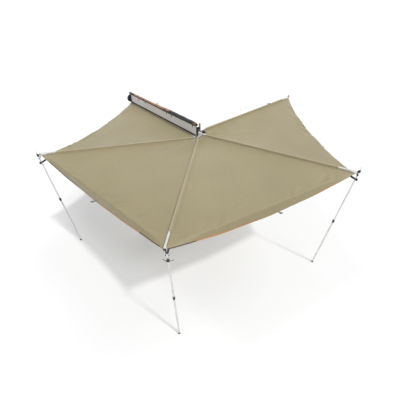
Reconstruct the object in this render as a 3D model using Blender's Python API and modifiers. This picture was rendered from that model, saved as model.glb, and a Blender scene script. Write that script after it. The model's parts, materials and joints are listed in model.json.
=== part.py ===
"""A wrap-around side awning for a vehicle roof, opened out on its four arms and four legs.

Metres, +Z up, +X towards the rear of the vehicle and -Y away from its side.
The origin is the middle of the backing rail's back face.
"""

import math

import bmesh
import bpy
from mathutils import Matrix, Vector

# Backing rail

RAIL_LENGTH = 2.19
RAIL_HEIGHT = 0.192
RAIL_DEPTH = 0.025
RAIL_WALL = 0.0025
SLOT_THROAT = 0.009
SLOT_CHAMBER = 0.016
SLOT_LIP = 0.003
SLOT_DEPTH = 0.0085
SLOT_SPREAD = 0.100
END_CAP_THICKNESS = 0.005

# Hub on the rail's rear end

HUB_OVERHANG = 0.060
HUB_STANDOFF = 0.047
HUB_DROP = 0.009
HUB_PLATE = 0.007
LUG_THICKNESS = 0.008
LUG_RADIUS = 0.022
WEB_CLEARANCE = 0.0165
WEB_BACK = 0.006
WEB_RIB = 0.010
RECESS_HALF = 0.040
KINGPIN_RADIUS = 0.006
KINGPIN_HEAD_RADIUS = 0.011
KINGPIN_HEAD_HEIGHT = 0.008
NUT_RADIUS = 0.011
NUT_HEIGHT = 0.009
BARREL_RADIUS = 0.0105

# Arms

ARM_NAMES = ("a", "b", "c", "d")
FIRST_ARM_ANGLE = 62.35
ARM_SPACING = 67.5
ARM_RISE_ANGLE = 1.4
ARM_PITCH = 0.036
ARM_WIDTH = 0.024
ARM_HEIGHT = 0.030
ARM_WALL = 0.002
ARM_CORNER = 0.003
ARM_TAIL = 0.014
LEG_RADIUS_FIRST = 2.494
LEG_RADIUS_STEP = 0.036

# Arm tip bracket, with the leg's hinge beside and below the arm

ARM_END_GAP = 0.024
TIP_BLOCK = 0.006
TIP_PLUG = 0.035
CHEEK_THICKNESS = 0.004
CHEEK_CLEARANCE = 0.001
HINGE_DROP = 0.050
HINGE_BOSS = 0.0115
HINGE_BOLT_RADIUS = 0.004
HINGE_BOLT_HEAD_RADIUS = 0.0075
HINGE_BOLT_HEAD = 0.0035

# Legs

GROUND_DROP = 1.980
HEAD_RADIUS = 0.014
HEAD_BELOW = 0.022
KNOB_RADIUS = 0.0165
KNOB_HEIGHT = 0.036
SPIKE_RADIUS = 0.004
SPIKE_HEIGHT = 0.062
UPPER_TUBE_RADIUS = 0.01075
UPPER_TUBE_WALL = 0.0012
UPPER_TUBE_LENGTH = 0.990
LOWER_TUBE_RADIUS = 0.0127
LOWER_TUBE_WALL = 0.00145
LOWER_TUBE_LENGTH = 1.100
COLLAR_RADIUS = 0.016
COLLAR_BELOW = 0.040
COLLAR_ABOVE = 0.020
FOOT_RADIUS = 0.0165
FOOT_HEIGHT = 0.030
FOOT_SOLE = 0.012
STRAP_DROP = 0.075
STRAP_WIDTH = 0.020
STRAP_THICKNESS = 0.0016
STRAP_RUN_IN = 0.105
STRAP_TAIL = 0.022

# Canopy cloth

CLOTH_THICKNESS = 0.0012
PANEL_INNER_RADIUS = 0.110
PANEL_CORNER_GAP = 0.030
PANEL_EDGE_OFFSET = 0.0008
FRONT_PANEL_REACH = 2.245
PANEL_SEAT = 0.0008
PANEL_SAG = 0.040
SAG_SHIFT = 0.62
PANEL_EDGE_BOWS = (0.084, 0.028, 0.016, 0.050)
PANEL_BOW_LEANS = (1.0, 0.0, 0.0, 0.0)
HEM_RUN = 0.055
HEM_DROOP = 0.115
HEM_WAVES = 4.5
HEM_RIPPLE = 0.005
RIPPLE_REACH = 0.16
PANEL_COLUMNS = 24
BODY_ROWS = 7
HEM_ROWS = 3
SLEEVE_START = 0.140
SLEEVE_END_GAP = 0.250
SLEEVE_THICKNESS = 0.0012
SLEEVE_EASE = 0.0006

# Open travel bag on the rail

LINING_THICKNESS = 0.0012
LINING_MARGIN = 0.018
ROLL_FRONT_RADIUS = 0.026
ROLL_REAR_RADIUS = 0.036
ROLL_SETBACK = 0.036
GUSSET_REACH = 0.046
GUSSET_LIFT = 0.009
GUSSET_THICKNESS = 0.030
ZIP_TAPE_WIDTH = 0.012
ZIP_TAPE_THICKNESS = 0.0022
ZIP_BEAD_RADIUS = 0.0022
ZIP_SLIDER_LENGTH = 0.016
TIE_WIDTH = 0.016
TIE_THICKNESS = 0.0015
TIE_LENGTH = 0.070
TIE_PLACES = (0.16, 0.27, 0.60, 0.67, 0.94)

# Rack brackets

BRACKET_WIDTH = 0.042
BRACKET_THICKNESS = 0.005
BRACKET_RISE = 0.164
BRACKET_FOOT = 0.080
BRACKET_CORNER = 0.010
FRONT_BRACKET_SHARE = 0.45
BRACKET_BOLT_RADIUS = 0.004
BRACKET_BOLT_HEAD_RADIUS = 0.0075
BRACKET_BOLT_HEAD = 0.005
BRACKET_NUT = 0.0035
WEB_NUT_RADIUS = 0.0075

# Edge loops and guy rope

RING_WIRE_RADIUS = 0.0022
RING_BAR = 0.030
RING_DEPTH = 0.026
RING_LIFT_ANGLE = 25
LOOP_TAB_WIDTH = 0.020
LOOP_TAB_LENGTH = 0.034
LOOP_COLUMNS = (12, 13, 8)
LOOP_SEWN_LENGTH = 0.030
LOOP_LIFT_ANGLE = 30
LOOP_TAB_THICKNESS = 0.0013
ROPE_RADIUS = 0.00225
GUY_SETBACK = 0.396
GUY_HITCH = (-0.008, 1.065, 0.150)
GUY_HITCH_RADIUS = 0.019
GUY_SLACK = 0.004
GUY_TAIL = 0.110

# Fits

GAP = 0.0003
RUNNING_GAP = 0.0004
FACETS = 16

PIVOT = Vector((RAIL_LENGTH / 2 + HUB_OVERHANG, -HUB_STANDOFF, -HUB_DROP))
RISE = math.radians(ARM_RISE_ANGLE)
LEG_OFFSET = ARM_WIDTH / 2 + CHEEK_CLEARANCE + CHEEK_THICKNESS + GAP + HEAD_RADIUS
LUG_FACE = 2 * ARM_PITCH + GAP / 2


# Scene, collections and materials

def clear_scene():
    for existing in list(bpy.data.objects):
        bpy.data.objects.remove(existing, do_unlink=True)


def new_collection(name):
    collection = bpy.data.collections.new(name)
    bpy.context.scene.collection.children.link(collection)
    return collection


def new_material(name, colour, roughness, metallic=0.0):
    material = bpy.data.materials.new(name)
    material.use_nodes = True
    shader = material.node_tree.nodes["Principled BSDF"]
    shader.inputs["Base Color"].default_value = (*colour, 1.0)
    shader.inputs["Roughness"].default_value = roughness
    shader.inputs["Metallic"].default_value = metallic
    material.diffuse_color = (*colour, 1.0)
    return material


# Shape helpers

def arc_points(centre, radius, start, end, steps):
    """Points of an arc about a 2D centre, from one angle to another in degrees."""
    points = []
    for step in range(steps + 1):
        angle = math.radians(start + (end - start) * step / steps)
        points.append((centre[0] + radius * math.cos(angle), centre[1] + radius * math.sin(angle)))
    return points


def box_points(u0, u1, v0, v1):
    return [(u0, v0), (u1, v0), (u1, v1), (u0, v1)]


def rounded_box_points(half_width, half_height, corner):
    points = []
    for quarter, (side, level) in enumerate(((1, 1), (-1, 1), (-1, -1), (1, -1))):
        centre = (side * (half_width - corner), level * (half_height - corner))
        points += arc_points(centre, corner, 90 * quarter, 90 * quarter + 90, 2)
    return points


PLANES = {
    "XY": Matrix(((1, 0, 0, 0), (0, 1, 0, 0), (0, 0, 1, 0), (0, 0, 0, 1))),
    "YZ": Matrix(((0, 0, 1, 0), (1, 0, 0, 0), (0, 1, 0, 0), (0, 0, 0, 1))),
    "XZ": Matrix(((1, 0, 0, 0), (0, 0, -1, 0), (0, 1, 0, 0), (0, 0, 0, 1))),
}


def new_tube(name, radius, resolution):
    """A round tube along whatever splines it is given, with its ends filled."""
    curve = bpy.data.curves.new(name, "CURVE")
    curve.dimensions = "3D"
    curve.bevel_depth = radius
    curve.bevel_resolution = resolution
    curve.use_fill_caps = True
    return curve


def mesh_of_curve(curve):
    """The curve as a mesh with its caps welded on."""
    holder = bpy.data.objects.new(curve.name + "_curve", curve)
    bpy.context.scene.collection.objects.link(holder)
    bpy.context.view_layer.update()
    evaluated = holder.evaluated_get(bpy.context.evaluated_depsgraph_get())
    mesh = bpy.data.meshes.new_from_object(evaluated)
    bpy.data.objects.remove(holder, do_unlink=True)
    shape = bmesh.new()
    shape.from_mesh(mesh)
    bmesh.ops.remove_doubles(shape, verts=shape.verts, dist=0.00001)
    bmesh.ops.recalc_face_normals(shape, faces=shape.faces)
    shape.to_mesh(mesh)
    shape.free()
    mesh.name = curve.name
    bpy.data.curves.remove(curve)
    return mesh


def outline_mesh(name, loops, thickness, plane="XY"):
    """A flat outline, with any holes in it, made solid to both sides of its plane."""
    curve = bpy.data.curves.new(name, "CURVE")
    curve.dimensions = "2D"
    curve.fill_mode = "BOTH"
    curve.extrude = thickness / 2
    for loop in loops:
        spline = curve.splines.new("POLY")
        spline.points.add(len(loop) - 1)
        spline.use_cyclic_u = True
        for point, (u, v) in zip(spline.points, loop):
            point.co = (u, v, 0.0, 1.0)
    mesh = mesh_of_curve(curve)
    mesh.transform(PLANES[plane])
    return mesh


def profile_mesh(name, points, closed=False):
    """The half section of a turned piece, in the XZ plane, for a Screw modifier."""
    mesh = bpy.data.meshes.new(name)
    shape = bmesh.new()
    verts = [shape.verts.new((radius, 0.0, height)) for radius, height in points]
    for first, second in zip(verts, verts[1:]):
        shape.edges.new((first, second))
    if closed:
        shape.edges.new((verts[-1], verts[0]))
    shape.to_mesh(mesh)
    shape.free()
    return mesh


class Builder:
    """Adds named objects to the awning's collection, with their materials."""

    def __init__(self):
        self.parts = new_collection("vehicle_side_awning")
        self.cutters = new_collection("cutters")
        self.materials = {
            "aluminium": new_material("aluminium", (0.78, 0.79, 0.81), 0.32, 1.0),
            "rail_aluminium": new_material("rail_aluminium", (0.70, 0.71, 0.72), 0.45, 1.0),
            "steel": new_material("steel", (0.62, 0.63, 0.65), 0.30, 1.0),
            "black_coat": new_material("black_coat", (0.022, 0.022, 0.024), 0.50, 0.2),
            "black_plastic": new_material("black_plastic", (0.028, 0.028, 0.031), 0.55),
            "rubber": new_material("rubber", (0.030, 0.030, 0.030), 0.85),
            "canopy_cloth": new_material("canopy_cloth", (0.385, 0.340, 0.225), 0.90),
            "sleeve_cloth": new_material("sleeve_cloth", (0.450, 0.395, 0.270), 0.90),
            "lining_cloth": new_material("lining_cloth", (0.520, 0.505, 0.515), 0.80),
            "bag_cloth": new_material("bag_cloth", (0.060, 0.060, 0.066), 0.70),
            "webbing": new_material("webbing", (0.016, 0.016, 0.020), 0.85),
            "rope": new_material("rope", (0.550, 0.545, 0.530), 0.85),
        }

    def place(self, name, data, material, parent=None, location=(0, 0, 0), smooth=None):
        item = bpy.data.objects.new(name, data)
        data.materials.clear()
        data.materials.append(self.materials[material])
        self.parts.objects.link(item)
        item.parent = parent
        item.location = location
        if smooth is not None:
            data.shade_smooth()
            data.set_sharp_from_angle(angle=math.radians(smooth))
        return item

    def frame(self, name, location, rotation):
        """An empty on a joint's axis, which carries the pieces that move about it."""
        empty = bpy.data.objects.new(name, None)
        empty.location = location
        empty.rotation_euler = rotation
        empty.empty_display_size = 0.05
        self.parts.objects.link(empty)
        return empty

    def outline(self, name, loops, thickness, plane, material, parent=None, location=(0, 0, 0)):
        mesh = outline_mesh(name, loops, thickness, plane)
        return self.place(name, mesh, material, parent, location)

    def turned(self, name, points, material, parent=None, location=(0, 0, 0), closed=False,
               sides=FACETS):
        mesh = profile_mesh(name, points, closed)
        item = self.place(name, mesh, material, parent, location)
        screw = item.modifiers.new("turn", "SCREW")
        screw.axis = "Z"
        screw.angle = math.tau
        screw.steps = sides
        screw.render_steps = sides
        screw.use_merge_vertices = True
        screw.merge_threshold = 0.00001
        screw.use_smooth_shade = True
        return item

    def tool(self, name, mesh, parent=None, location=(0, 0, 0), rotation=(0, 0, 0)):
        """A solid that only cuts or joins: kept out of the part."""
        item = bpy.data.objects.new(name, mesh)
        self.cutters.objects.link(item)
        item.parent = parent
        item.location = location
        item.rotation_euler = rotation
        item.hide_render = True
        item.display_type = "WIRE"
        return item

    def rod(self, name, radius, length, parent=None, location=(0, 0, 0), rotation=(0, 0, 0)):
        """A round cutter along its own Z."""
        mesh = bpy.data.meshes.new(name)
        shape = bmesh.new()
        bmesh.ops.create_cone(shape, cap_ends=True, segments=FACETS, radius1=radius,
                              radius2=radius, depth=length)
        shape.to_mesh(mesh)
        shape.free()
        return self.tool(name, mesh, parent, location, rotation)

    def block(self, name, low, high, parent=None):
        """A box cutter between two corners."""
        mesh = bpy.data.meshes.new(name)
        shape = bmesh.new()
        low = Vector(low)
        high = Vector(high)
        size = high - low
        bmesh.ops.create_cube(shape, size=1.0)
        bmesh.ops.scale(shape, vec=size, verts=shape.verts)
        bmesh.ops.translate(shape, vec=(low + high) / 2, verts=shape.verts)
        shape.to_mesh(mesh)
        shape.free()
        return self.tool(name, mesh, parent)

    def combine(self, item, tool, operation):
        boolean = item.modifiers.new(operation.lower(), "BOOLEAN")
        boolean.operation = operation
        boolean.solver = "EXACT"
        boolean.object = tool

    def soften(self, item, width, angle=40):
        bevel = item.modifiers.new("edges", "BEVEL")
        bevel.width = width
        bevel.segments = 1
        bevel.limit_method = "ANGLE"
        bevel.angle_limit = math.radians(angle)
        bevel.harden_normals = False
        return bevel


# Places that follow from the sizes

def arm_level(index):
    """Height of an arm's centre line at the kingpin, above the stack's middle."""
    return (index - 1.5) * ARM_PITCH


def arm_angle(index):
    """Degrees from the rail's own direction, turning outwards and to the rear."""
    return FIRST_ARM_ANGLE + ARM_SPACING * index


def leg_radius(index):
    return LEG_RADIUS_FIRST - LEG_RADIUS_STEP * index


def heading(angle):
    turned = math.radians(angle)
    return Vector((-math.cos(turned), -math.sin(turned), 0.0))


def aside(angle):
    """The level direction a quarter turn on from an arm's heading."""
    turned = math.radians(angle)
    return Vector((math.sin(turned), -math.cos(turned), 0.0))


def under_arm(index, distance):
    """World height of an arm's lower face at a distance from the kingpin."""
    centre = PIVOT.z + arm_level(index) + distance * math.tan(RISE)
    return centre - ARM_HEIGHT / 2 / math.cos(RISE)


def smoothstep(value):
    value = min(max(value, 0.0), 1.0)
    return value * value * (3 - 2 * value)


# Rail and bag

def rail_loops():
    half = RAIL_HEIGHT / 2
    outer = [(0.0, -half)]
    chambers = []
    for centre in (-SLOT_SPREAD / 2, SLOT_SPREAD / 2):
        throat = SLOT_THROAT / 2
        chamber = SLOT_CHAMBER / 2
        outer += [
            (0.0, centre - throat), (-SLOT_LIP, centre - throat), (-SLOT_LIP, centre - chamber),
            (-SLOT_DEPTH, centre - chamber), (-SLOT_DEPTH, centre + chamber),
            (-SLOT_LIP, centre + chamber), (-SLOT_LIP, centre + throat), (0.0, centre + throat),
        ]
        chambers.append((centre - chamber, centre + chamber))
    outer += [(0.0, half), (-RAIL_DEPTH, half), (-RAIL_DEPTH, -half)]
    front = -RAIL_DEPTH + RAIL_WALL
    holes = []
    floor = -half + RAIL_WALL
    for low, high in chambers:
        holes.append(box_points(front, -RAIL_WALL, floor, low - RAIL_WALL))
        holes.append(box_points(front, -SLOT_DEPTH - RAIL_WALL, low, high))
        floor = high + RAIL_WALL
    holes.append(box_points(front, -RAIL_WALL, floor, half - RAIL_WALL))
    return [outer] + holes


def build_rail(build):
    build.outline("backing_rail", rail_loops(), RAIL_LENGTH, "YZ", "rail_aluminium")
    cap_x = -RAIL_LENGTH / 2 - GAP - END_CAP_THICKNESS / 2
    corner = 0.004
    loop = rounded_box_points(RAIL_DEPTH / 2, RAIL_HEIGHT / 2, corner)
    cap = build.outline("rail_end_cap", [loop], END_CAP_THICKNESS, "YZ", "black_plastic",
                        location=(cap_x, -RAIL_DEPTH / 2, 0))
    build.soften(cap, 0.001)


def lining_front():
    return -RAIL_DEPTH - GAP - LINING_THICKNESS


def build_bag(build):
    lining_y = -RAIL_DEPTH - GAP - LINING_THICKNESS / 2
    low = -RAIL_HEIGHT / 2 + LINING_MARGIN + 0.004
    high = RAIL_HEIGHT / 2
    loop = box_points(-RAIL_LENGTH / 2 + 0.032, RAIL_LENGTH / 2 - LINING_MARGIN, low, high)
    build.outline("bag_lining", [loop], LINING_THICKNESS, "XZ", "lining_cloth",
                  location=(0, lining_y, 0))

    start = -RAIL_LENGTH / 2 + 0.012
    end = RAIL_LENGTH / 2 - 0.010
    count = 16
    curve = new_tube("bag_flap_roll", 1.0, 4)
    spline = curve.splines.new("POLY")
    spline.points.add(count - 1)
    for step, point in enumerate(spline.points):
        share = step / (count - 1)
        swell = smoothstep((share - 0.35) / 0.35)
        radius = ROLL_FRONT_RADIUS + (ROLL_REAR_RADIUS - ROLL_FRONT_RADIUS) * swell
        radius -= 0.0012 * (1 - math.cos(step * 2.4))
        height = RAIL_HEIGHT / 2 + GAP + radius
        point.co = (start + (end - start) * share, -ROLL_SETBACK, height, 1.0)
        point.radius = radius
    roll = build.place("bag_flap_roll", mesh_of_curve(curve), "bag_cloth")
    join_ties(build, roll)

    build_gusset(build)

    tape_y = -RAIL_DEPTH - GAP - ZIP_TAPE_WIDTH
    tape_z = -RAIL_HEIGHT / 2 + 0.003
    bead = arc_points((tape_y, tape_z), ZIP_BEAD_RADIUS, 30, 330, 8)
    loop = bead + [
        (-RAIL_DEPTH - GAP, tape_z - ZIP_TAPE_THICKNESS / 2),
        (-RAIL_DEPTH - GAP, tape_z + ZIP_TAPE_THICKNESS / 2),
    ]
    build.outline("zip_tape", [loop], RAIL_LENGTH - 0.080, "YZ", "webbing",
                  location=(0.010, 0, 0))
    build_zip_slider(build, tape_y, tape_z)


def build_gusset(build):
    """The cloth end wall of the bag, which stands out from the rail's front end."""
    half = RAIL_HEIGHT / 2 - 0.004 - GUSSET_LIFT
    back = -RAIL_DEPTH - GAP
    front = back - GUSSET_REACH
    swell = arc_points((front + half * 0.55, GUSSET_LIFT), half * 0.98, 142, 218, 8)
    loop = [(back, half + GUSSET_LIFT)] + swell + [(back, GUSSET_LIFT - half)]
    rim = build.outline("bag_end_gusset", [loop], GUSSET_THICKNESS, "YZ", "bag_cloth",
                        location=(-RAIL_LENGTH / 2 + GUSSET_THICKNESS / 2, 0, 0))
    build.soften(rim, 0.005, 50)
    return rim


def build_zip_slider(build, bead_y, bead_z):
    rest = Vector((RAIL_LENGTH / 2 - 0.090, bead_y, bead_z))
    carrier = build.frame("zip_slider_frame", rest, (0, 0, 0))
    inner = ZIP_BEAD_RADIUS + RUNNING_GAP
    mouth = math.degrees(math.asin((ZIP_TAPE_THICKNESS / 2 + RUNNING_GAP) / inner))
    outer = inner + 0.0016
    opening = math.degrees(math.asin((ZIP_TAPE_THICKNESS / 2 + RUNNING_GAP) / outer))
    loop = arc_points((0, 0), outer, opening, 360 - opening, 12)
    loop += arc_points((0, 0), inner, 360 - mouth, mouth, 10)
    slider = build.outline("zip_slider", [loop], ZIP_SLIDER_LENGTH, "YZ", "black_coat", carrier)
    pull = outline_mesh("zip_pull", [rounded_box_points(0.0035, 0.014, 0.0025)], 0.002, "YZ")
    tool = build.tool("zip_pull", pull, carrier, (0, -outer - 0.0035 + 0.0012, -0.0105))
    build.combine(slider, tool, "UNION")


def join_ties(build, roll):
    """Short webbing ties, sewn to the roll, that hang over the lining."""
    face = lining_front() - GAP
    top = RAIL_HEIGHT / 2 + 0.012
    for number, share in enumerate(TIE_PLACES, 1):
        x = -RAIL_LENGTH / 2 + RAIL_LENGTH * share
        tie = build.block(
            f"bag_tie_{number}", (x - TIE_WIDTH / 2, face - TIE_THICKNESS, top - TIE_LENGTH),
            (x + TIE_WIDTH / 2, face, top))
        build.combine(roll, tie, "UNION")


# Hub and brackets

def hub_lug_loop():
    """Plan of a lug: round at the kingpin, tapering back to the rail's end plate."""
    near = -HUB_OVERHANG + GAP + HUB_PLATE / 2
    loop = arc_points((0, 0), LUG_RADIUS, 70, -112, 12)
    loop += [(near, HUB_STANDOFF - RAIL_DEPTH + 0.002), (near, HUB_STANDOFF)]
    loop += [(-WEB_CLEARANCE, HUB_STANDOFF)]
    return loop


def build_hub(build):
    frame = build.frame("hub_frame", PIVOT, (0, 0, 0))
    plate_low = -HUB_OVERHANG + GAP
    plate_middle = plate_low + HUB_PLATE / 2
    web_front = HUB_STANDOFF - RAIL_DEPTH
    web_half = LUG_FACE + LUG_THICKNESS / 2
    loop = box_points(web_front, HUB_STANDOFF,
                      HUB_DROP - RAIL_HEIGHT / 2, HUB_DROP + RAIL_HEIGHT / 2)
    hub = build.outline("hub_bracket", [loop], HUB_PLATE, "YZ", "black_coat", frame,
                        (plate_middle, 0, 0))
    web = build.block("hub_web", (plate_middle, web_front + 0.001, -web_half),
                      (-WEB_CLEARANCE, HUB_STANDOFF, web_half), frame)
    build.combine(hub, web, "UNION")
    for name, level in (("upper", 1), ("lower", -1)):
        lug = outline_mesh(f"hub_{name}_lug", [hub_lug_loop()], LUG_THICKNESS)
        height = level * (LUG_FACE + LUG_THICKNESS / 2)
        build.combine(hub, build.tool(f"hub_{name}_lug", lug, frame, (0, 0, height)), "UNION")
    recess = build.block("hub_recess", (plate_low + HUB_PLATE, 0, -RECESS_HALF),
                         (-WEB_CLEARANCE - WEB_RIB, HUB_STANDOFF - WEB_BACK, RECESS_HALF), frame)
    build.combine(hub, recess, "DIFFERENCE")
    bore = build.rod("kingpin_bore", KINGPIN_RADIUS + GAP * 1.5, 0.4, frame)
    build.combine(hub, bore, "DIFFERENCE")
    hole = build.rod("hub_bolt_hole", BRACKET_BOLT_RADIUS + GAP * 1.5, 0.030, frame,
                     (rear_bracket_x() - PIVOT.x, HUB_STANDOFF, -PIVOT.z), (math.pi / 2, 0, 0))
    build.combine(hub, hole, "DIFFERENCE")
    build.soften(hub, 0.0008, 60)
    build_kingpin(build, frame)
    return frame, bore


def build_kingpin(build, frame):
    reach = LUG_FACE + LUG_THICKNESS + GAP
    tail = reach + NUT_HEIGHT + 0.004
    head = reach + KINGPIN_HEAD_HEIGHT
    pin = [
        (0.0, head), (KINGPIN_HEAD_RADIUS - 0.002, head), (KINGPIN_HEAD_RADIUS, head - 0.002),
        (KINGPIN_HEAD_RADIUS, reach), (KINGPIN_RADIUS, reach), (KINGPIN_RADIUS, -tail + 0.001),
        (KINGPIN_RADIUS - 0.001, -tail), (0.0, -tail),
    ]
    build.turned("kingpin", pin, "steel", frame)
    hexagon = arc_points((0, 0), NUT_RADIUS, 30, 330, 5)
    hole = arc_points((0, 0), KINGPIN_RADIUS + GAP, 0, 337.5, 15)
    build.outline("kingpin_nut", [hexagon, hole], NUT_HEIGHT, "XY", "steel", frame,
                  (0, 0, -reach - NUT_HEIGHT / 2))


def rear_bracket_x():
    return PIVOT.x - WEB_CLEARANCE - BRACKET_WIDTH / 2 - 0.001


def front_bracket_x():
    return -RAIL_LENGTH / 2 + RAIL_LENGTH * FRONT_BRACKET_SHARE


def bracket_loop():
    """Side view of an L bracket: up the back of the rail, then in over the rack."""
    low = -RAIL_HEIGHT / 2 + 0.020
    top = BRACKET_RISE
    turn = BRACKET_CORNER
    thick = BRACKET_THICKNESS
    loop = [(thick, low), (thick, top - turn)]
    loop += arc_points((thick + turn - thick, top - turn), turn - thick, 180, 90, 3)[1:]
    loop += [(BRACKET_FOOT, top - thick), (BRACKET_FOOT, top)]
    loop += arc_points((turn, top - turn), turn, 90, 180, 4)
    loop += [(0.0, low)]
    return loop


def build_brackets(build):
    slot_nut = SLOT_CHAMBER / 2 - 2 * GAP
    upper = SLOT_SPREAD / 2
    places = (
        ("front", front_bracket_x(), {"_upper": upper, "_lower": -upper}, SLOT_LIP, slot_nut),
        ("rear", rear_bracket_x(), {"": 0.0}, WEB_BACK, WEB_NUT_RADIUS),
    )
    for label, x, heights, wall, nut_radius in places:
        name = f"rack_bracket_{label}"
        item = build.outline(name, [bracket_loop()], BRACKET_WIDTH, "YZ", "aluminium",
                             location=(x, GAP, 0))
        for suffix, height in heights.items():
            hole = build.rod(name + "_hole" + suffix, BRACKET_BOLT_RADIUS + GAP * 1.5, 0.05, item,
                             (0, 0, height), (math.pi / 2, 0, 0))
            build.combine(item, hole, "DIFFERENCE")
            build_bracket_bolt(build, f"rack_bolt_{label}{suffix}", x, height, wall, nut_radius)
        slot = outline_mesh(name + "_slot", [rounded_box_points(0.004, 0.018, 0.0038)], 0.05)
        tool = build.tool(name + "_slot", slot, item, (0, BRACKET_FOOT * 0.62, BRACKET_RISE))
        build.combine(item, tool, "DIFFERENCE")


def build_bracket_bolt(build, name, x, height, wall, nut_radius):
    """A bolt through a bracket, with its nut behind the rail's slot or the hub's web."""
    outer = BRACKET_THICKNESS + 2 * GAP
    inner = -(wall + GAP)
    end = inner - BRACKET_NUT
    profile = [
        (0.0, outer + BRACKET_BOLT_HEAD), (BRACKET_BOLT_HEAD_RADIUS - 0.001, outer + BRACKET_BOLT_HEAD),
        (BRACKET_BOLT_HEAD_RADIUS, outer + BRACKET_BOLT_HEAD - 0.001),
        (BRACKET_BOLT_HEAD_RADIUS, outer), (BRACKET_BOLT_RADIUS, outer),
        (BRACKET_BOLT_RADIUS, inner), (nut_radius, inner), (nut_radius, end), (0.0, end),
    ]
    bolt = build.turned(name, profile, "steel", None, (x, 0, height))
    bolt.rotation_euler = (math.radians(-90), 0, 0)


def lathe(shape, sections, matrix):
    """Adds a closed round solid along Z to a bmesh, from (height, radius) pairs downwards."""
    made = bmesh.new()
    mesh = bpy.data.meshes.new("lathe")
    points = [(0.0, sections[0][0])] + [(radius, height) for height, radius in sections]
    points.append((0.0, sections[-1][0]))
    verts = [made.verts.new((radius, 0.0, height)) for radius, height in points]
    edges = [made.edges.new(pair) for pair in zip(verts, verts[1:])]
    bmesh.ops.spin(made, geom=verts + edges, cent=(0, 0, 0), axis=(0, 0, 1), angle=math.tau,
                   steps=FACETS, use_merge=True, use_duplicate=False)
    bmesh.ops.remove_doubles(made, verts=made.verts, dist=0.00001)
    bmesh.ops.recalc_face_normals(made, faces=made.faces)
    made.to_mesh(mesh)
    made.free()
    mesh.transform(matrix)
    shape.from_mesh(mesh)
    bpy.data.meshes.remove(mesh)


# Arms, their tip brackets and the sleeves

def arm_frame(build, index):
    angle = math.radians(arm_angle(index) + 180)
    location = PIVOT + Vector((0, 0, arm_level(index)))
    return build.frame(f"arm_{ARM_NAMES[index]}_frame", location, (0, -RISE, angle))


def build_arm(build, index, frame, hub, bore):
    name = f"arm_{ARM_NAMES[index]}"
    end = leg_radius(index) - ARM_END_GAP
    outer = rounded_box_points(ARM_WIDTH / 2, ARM_HEIGHT / 2, ARM_CORNER)
    inner_y = ARM_WIDTH / 2 - ARM_WALL
    inner_z = ARM_HEIGHT / 2 - ARM_WALL
    inner = box_points(-inner_y, inner_y, -inner_z, inner_z)
    tube = build.outline(name, [outer, inner], end + ARM_TAIL, "YZ", "aluminium", frame,
                         ((end - ARM_TAIL) / 2, 0, 0))
    barrel = build.rod(name + "_barrel", BARREL_RADIUS, ARM_PITCH - GAP, hub,
                       (0, 0, arm_level(index)))
    build.combine(tube, barrel, "UNION")
    build.combine(tube, bore, "DIFFERENCE")
    build_tip(build, index, frame, end)
    build_sleeve(build, index, frame)


def build_tip(build, index, frame, end):
    """End block with its plug, the cheek beside the arm, and the leg's hinge bolt."""
    name = f"arm_{ARM_NAMES[index]}_tip"
    hinge_x = leg_radius(index)
    block_start = end + GAP
    block_end = block_start + TIP_BLOCK
    cheek_inner = ARM_WIDTH / 2 + CHEEK_CLEARANCE
    cheek_outer = cheek_inner + CHEEK_THICKNESS
    half = ARM_HEIGHT / 2
    knee = block_end - hinge_x
    loop = [(block_start - hinge_x, half), (knee, half), (knee, -half - 0.004)]
    loop += arc_points((0, -HINGE_DROP), HINGE_BOSS, 62, -150, 8)
    loop += [(block_start - hinge_x, -half - 0.010)]
    cheek = build.outline(name, [loop], CHEEK_THICKNESS, "XZ", "black_coat", frame,
                          (hinge_x, (cheek_inner + cheek_outer) / 2, 0))
    block = build.block(name + "_block", (block_start, -ARM_WIDTH / 2, -half),
                        (block_end, cheek_outer, half), frame)
    build.combine(cheek, block, "UNION")
    plug_y = ARM_WIDTH / 2 - ARM_WALL - RUNNING_GAP
    plug_z = half - ARM_WALL - RUNNING_GAP
    plug = build.block(name + "_plug", (end - TIP_PLUG, -plug_y, -plug_z),
                       (block_start + 0.001, plug_y, plug_z), frame)
    build.combine(cheek, plug, "UNION")
    shank = LEG_OFFSET + HEAD_RADIUS + GAP
    bolt = bpy.data.meshes.new(name + "_bolt")
    shape = bmesh.new()
    along = Matrix.Rotation(math.radians(-90), 4, "X")
    sections = [
        (shank + HINGE_BOLT_HEAD, HINGE_BOLT_HEAD_RADIUS), (shank, HINGE_BOLT_HEAD_RADIUS),
        (shank, HINGE_BOLT_RADIUS), (cheek_inner, HINGE_BOLT_RADIUS),
    ]
    lathe(shape, sections, along)
    shape.to_mesh(bolt)
    shape.free()
    build.combine(cheek, build.tool(name + "_bolt", bolt, frame, (hinge_x, 0, -HINGE_DROP)),
                  "UNION")


def build_sleeve(build, index, frame):
    """The cloth pocket that wraps an arm's top and sides."""
    start = SLEEVE_START
    end = leg_radius(index) - SLEEVE_END_GAP
    inner_y = ARM_WIDTH / 2 + SLEEVE_EASE
    outer_y = inner_y + SLEEVE_THICKNESS
    low = -ARM_HEIGHT / 2 + 0.0005
    inner_z = ARM_HEIGHT / 2 + SLEEVE_EASE
    outer_z = inner_z + SLEEVE_THICKNESS
    soft = 0.004
    loop = [(outer_y, low)]
    loop += arc_points((outer_y - soft, outer_z - soft), soft, 0, 90, 3)
    loop += arc_points((-outer_y + soft, outer_z - soft), soft, 90, 180, 3)
    loop += [(-outer_y, low), (-inner_y, low)]
    bend = soft - SLEEVE_THICKNESS
    loop += arc_points((-inner_y + bend, inner_z - bend), bend, 180, 90, 2)
    loop += arc_points((inner_y - bend, inner_z - bend), bend, 90, 0, 2)
    loop += [(inner_y, low)]
    build.outline(f"sleeve_{ARM_NAMES[index]}", [loop], end - start, "YZ", "sleeve_cloth", frame,
                  ((start + end) / 2, 0, 0))


# Canopy panels

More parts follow.
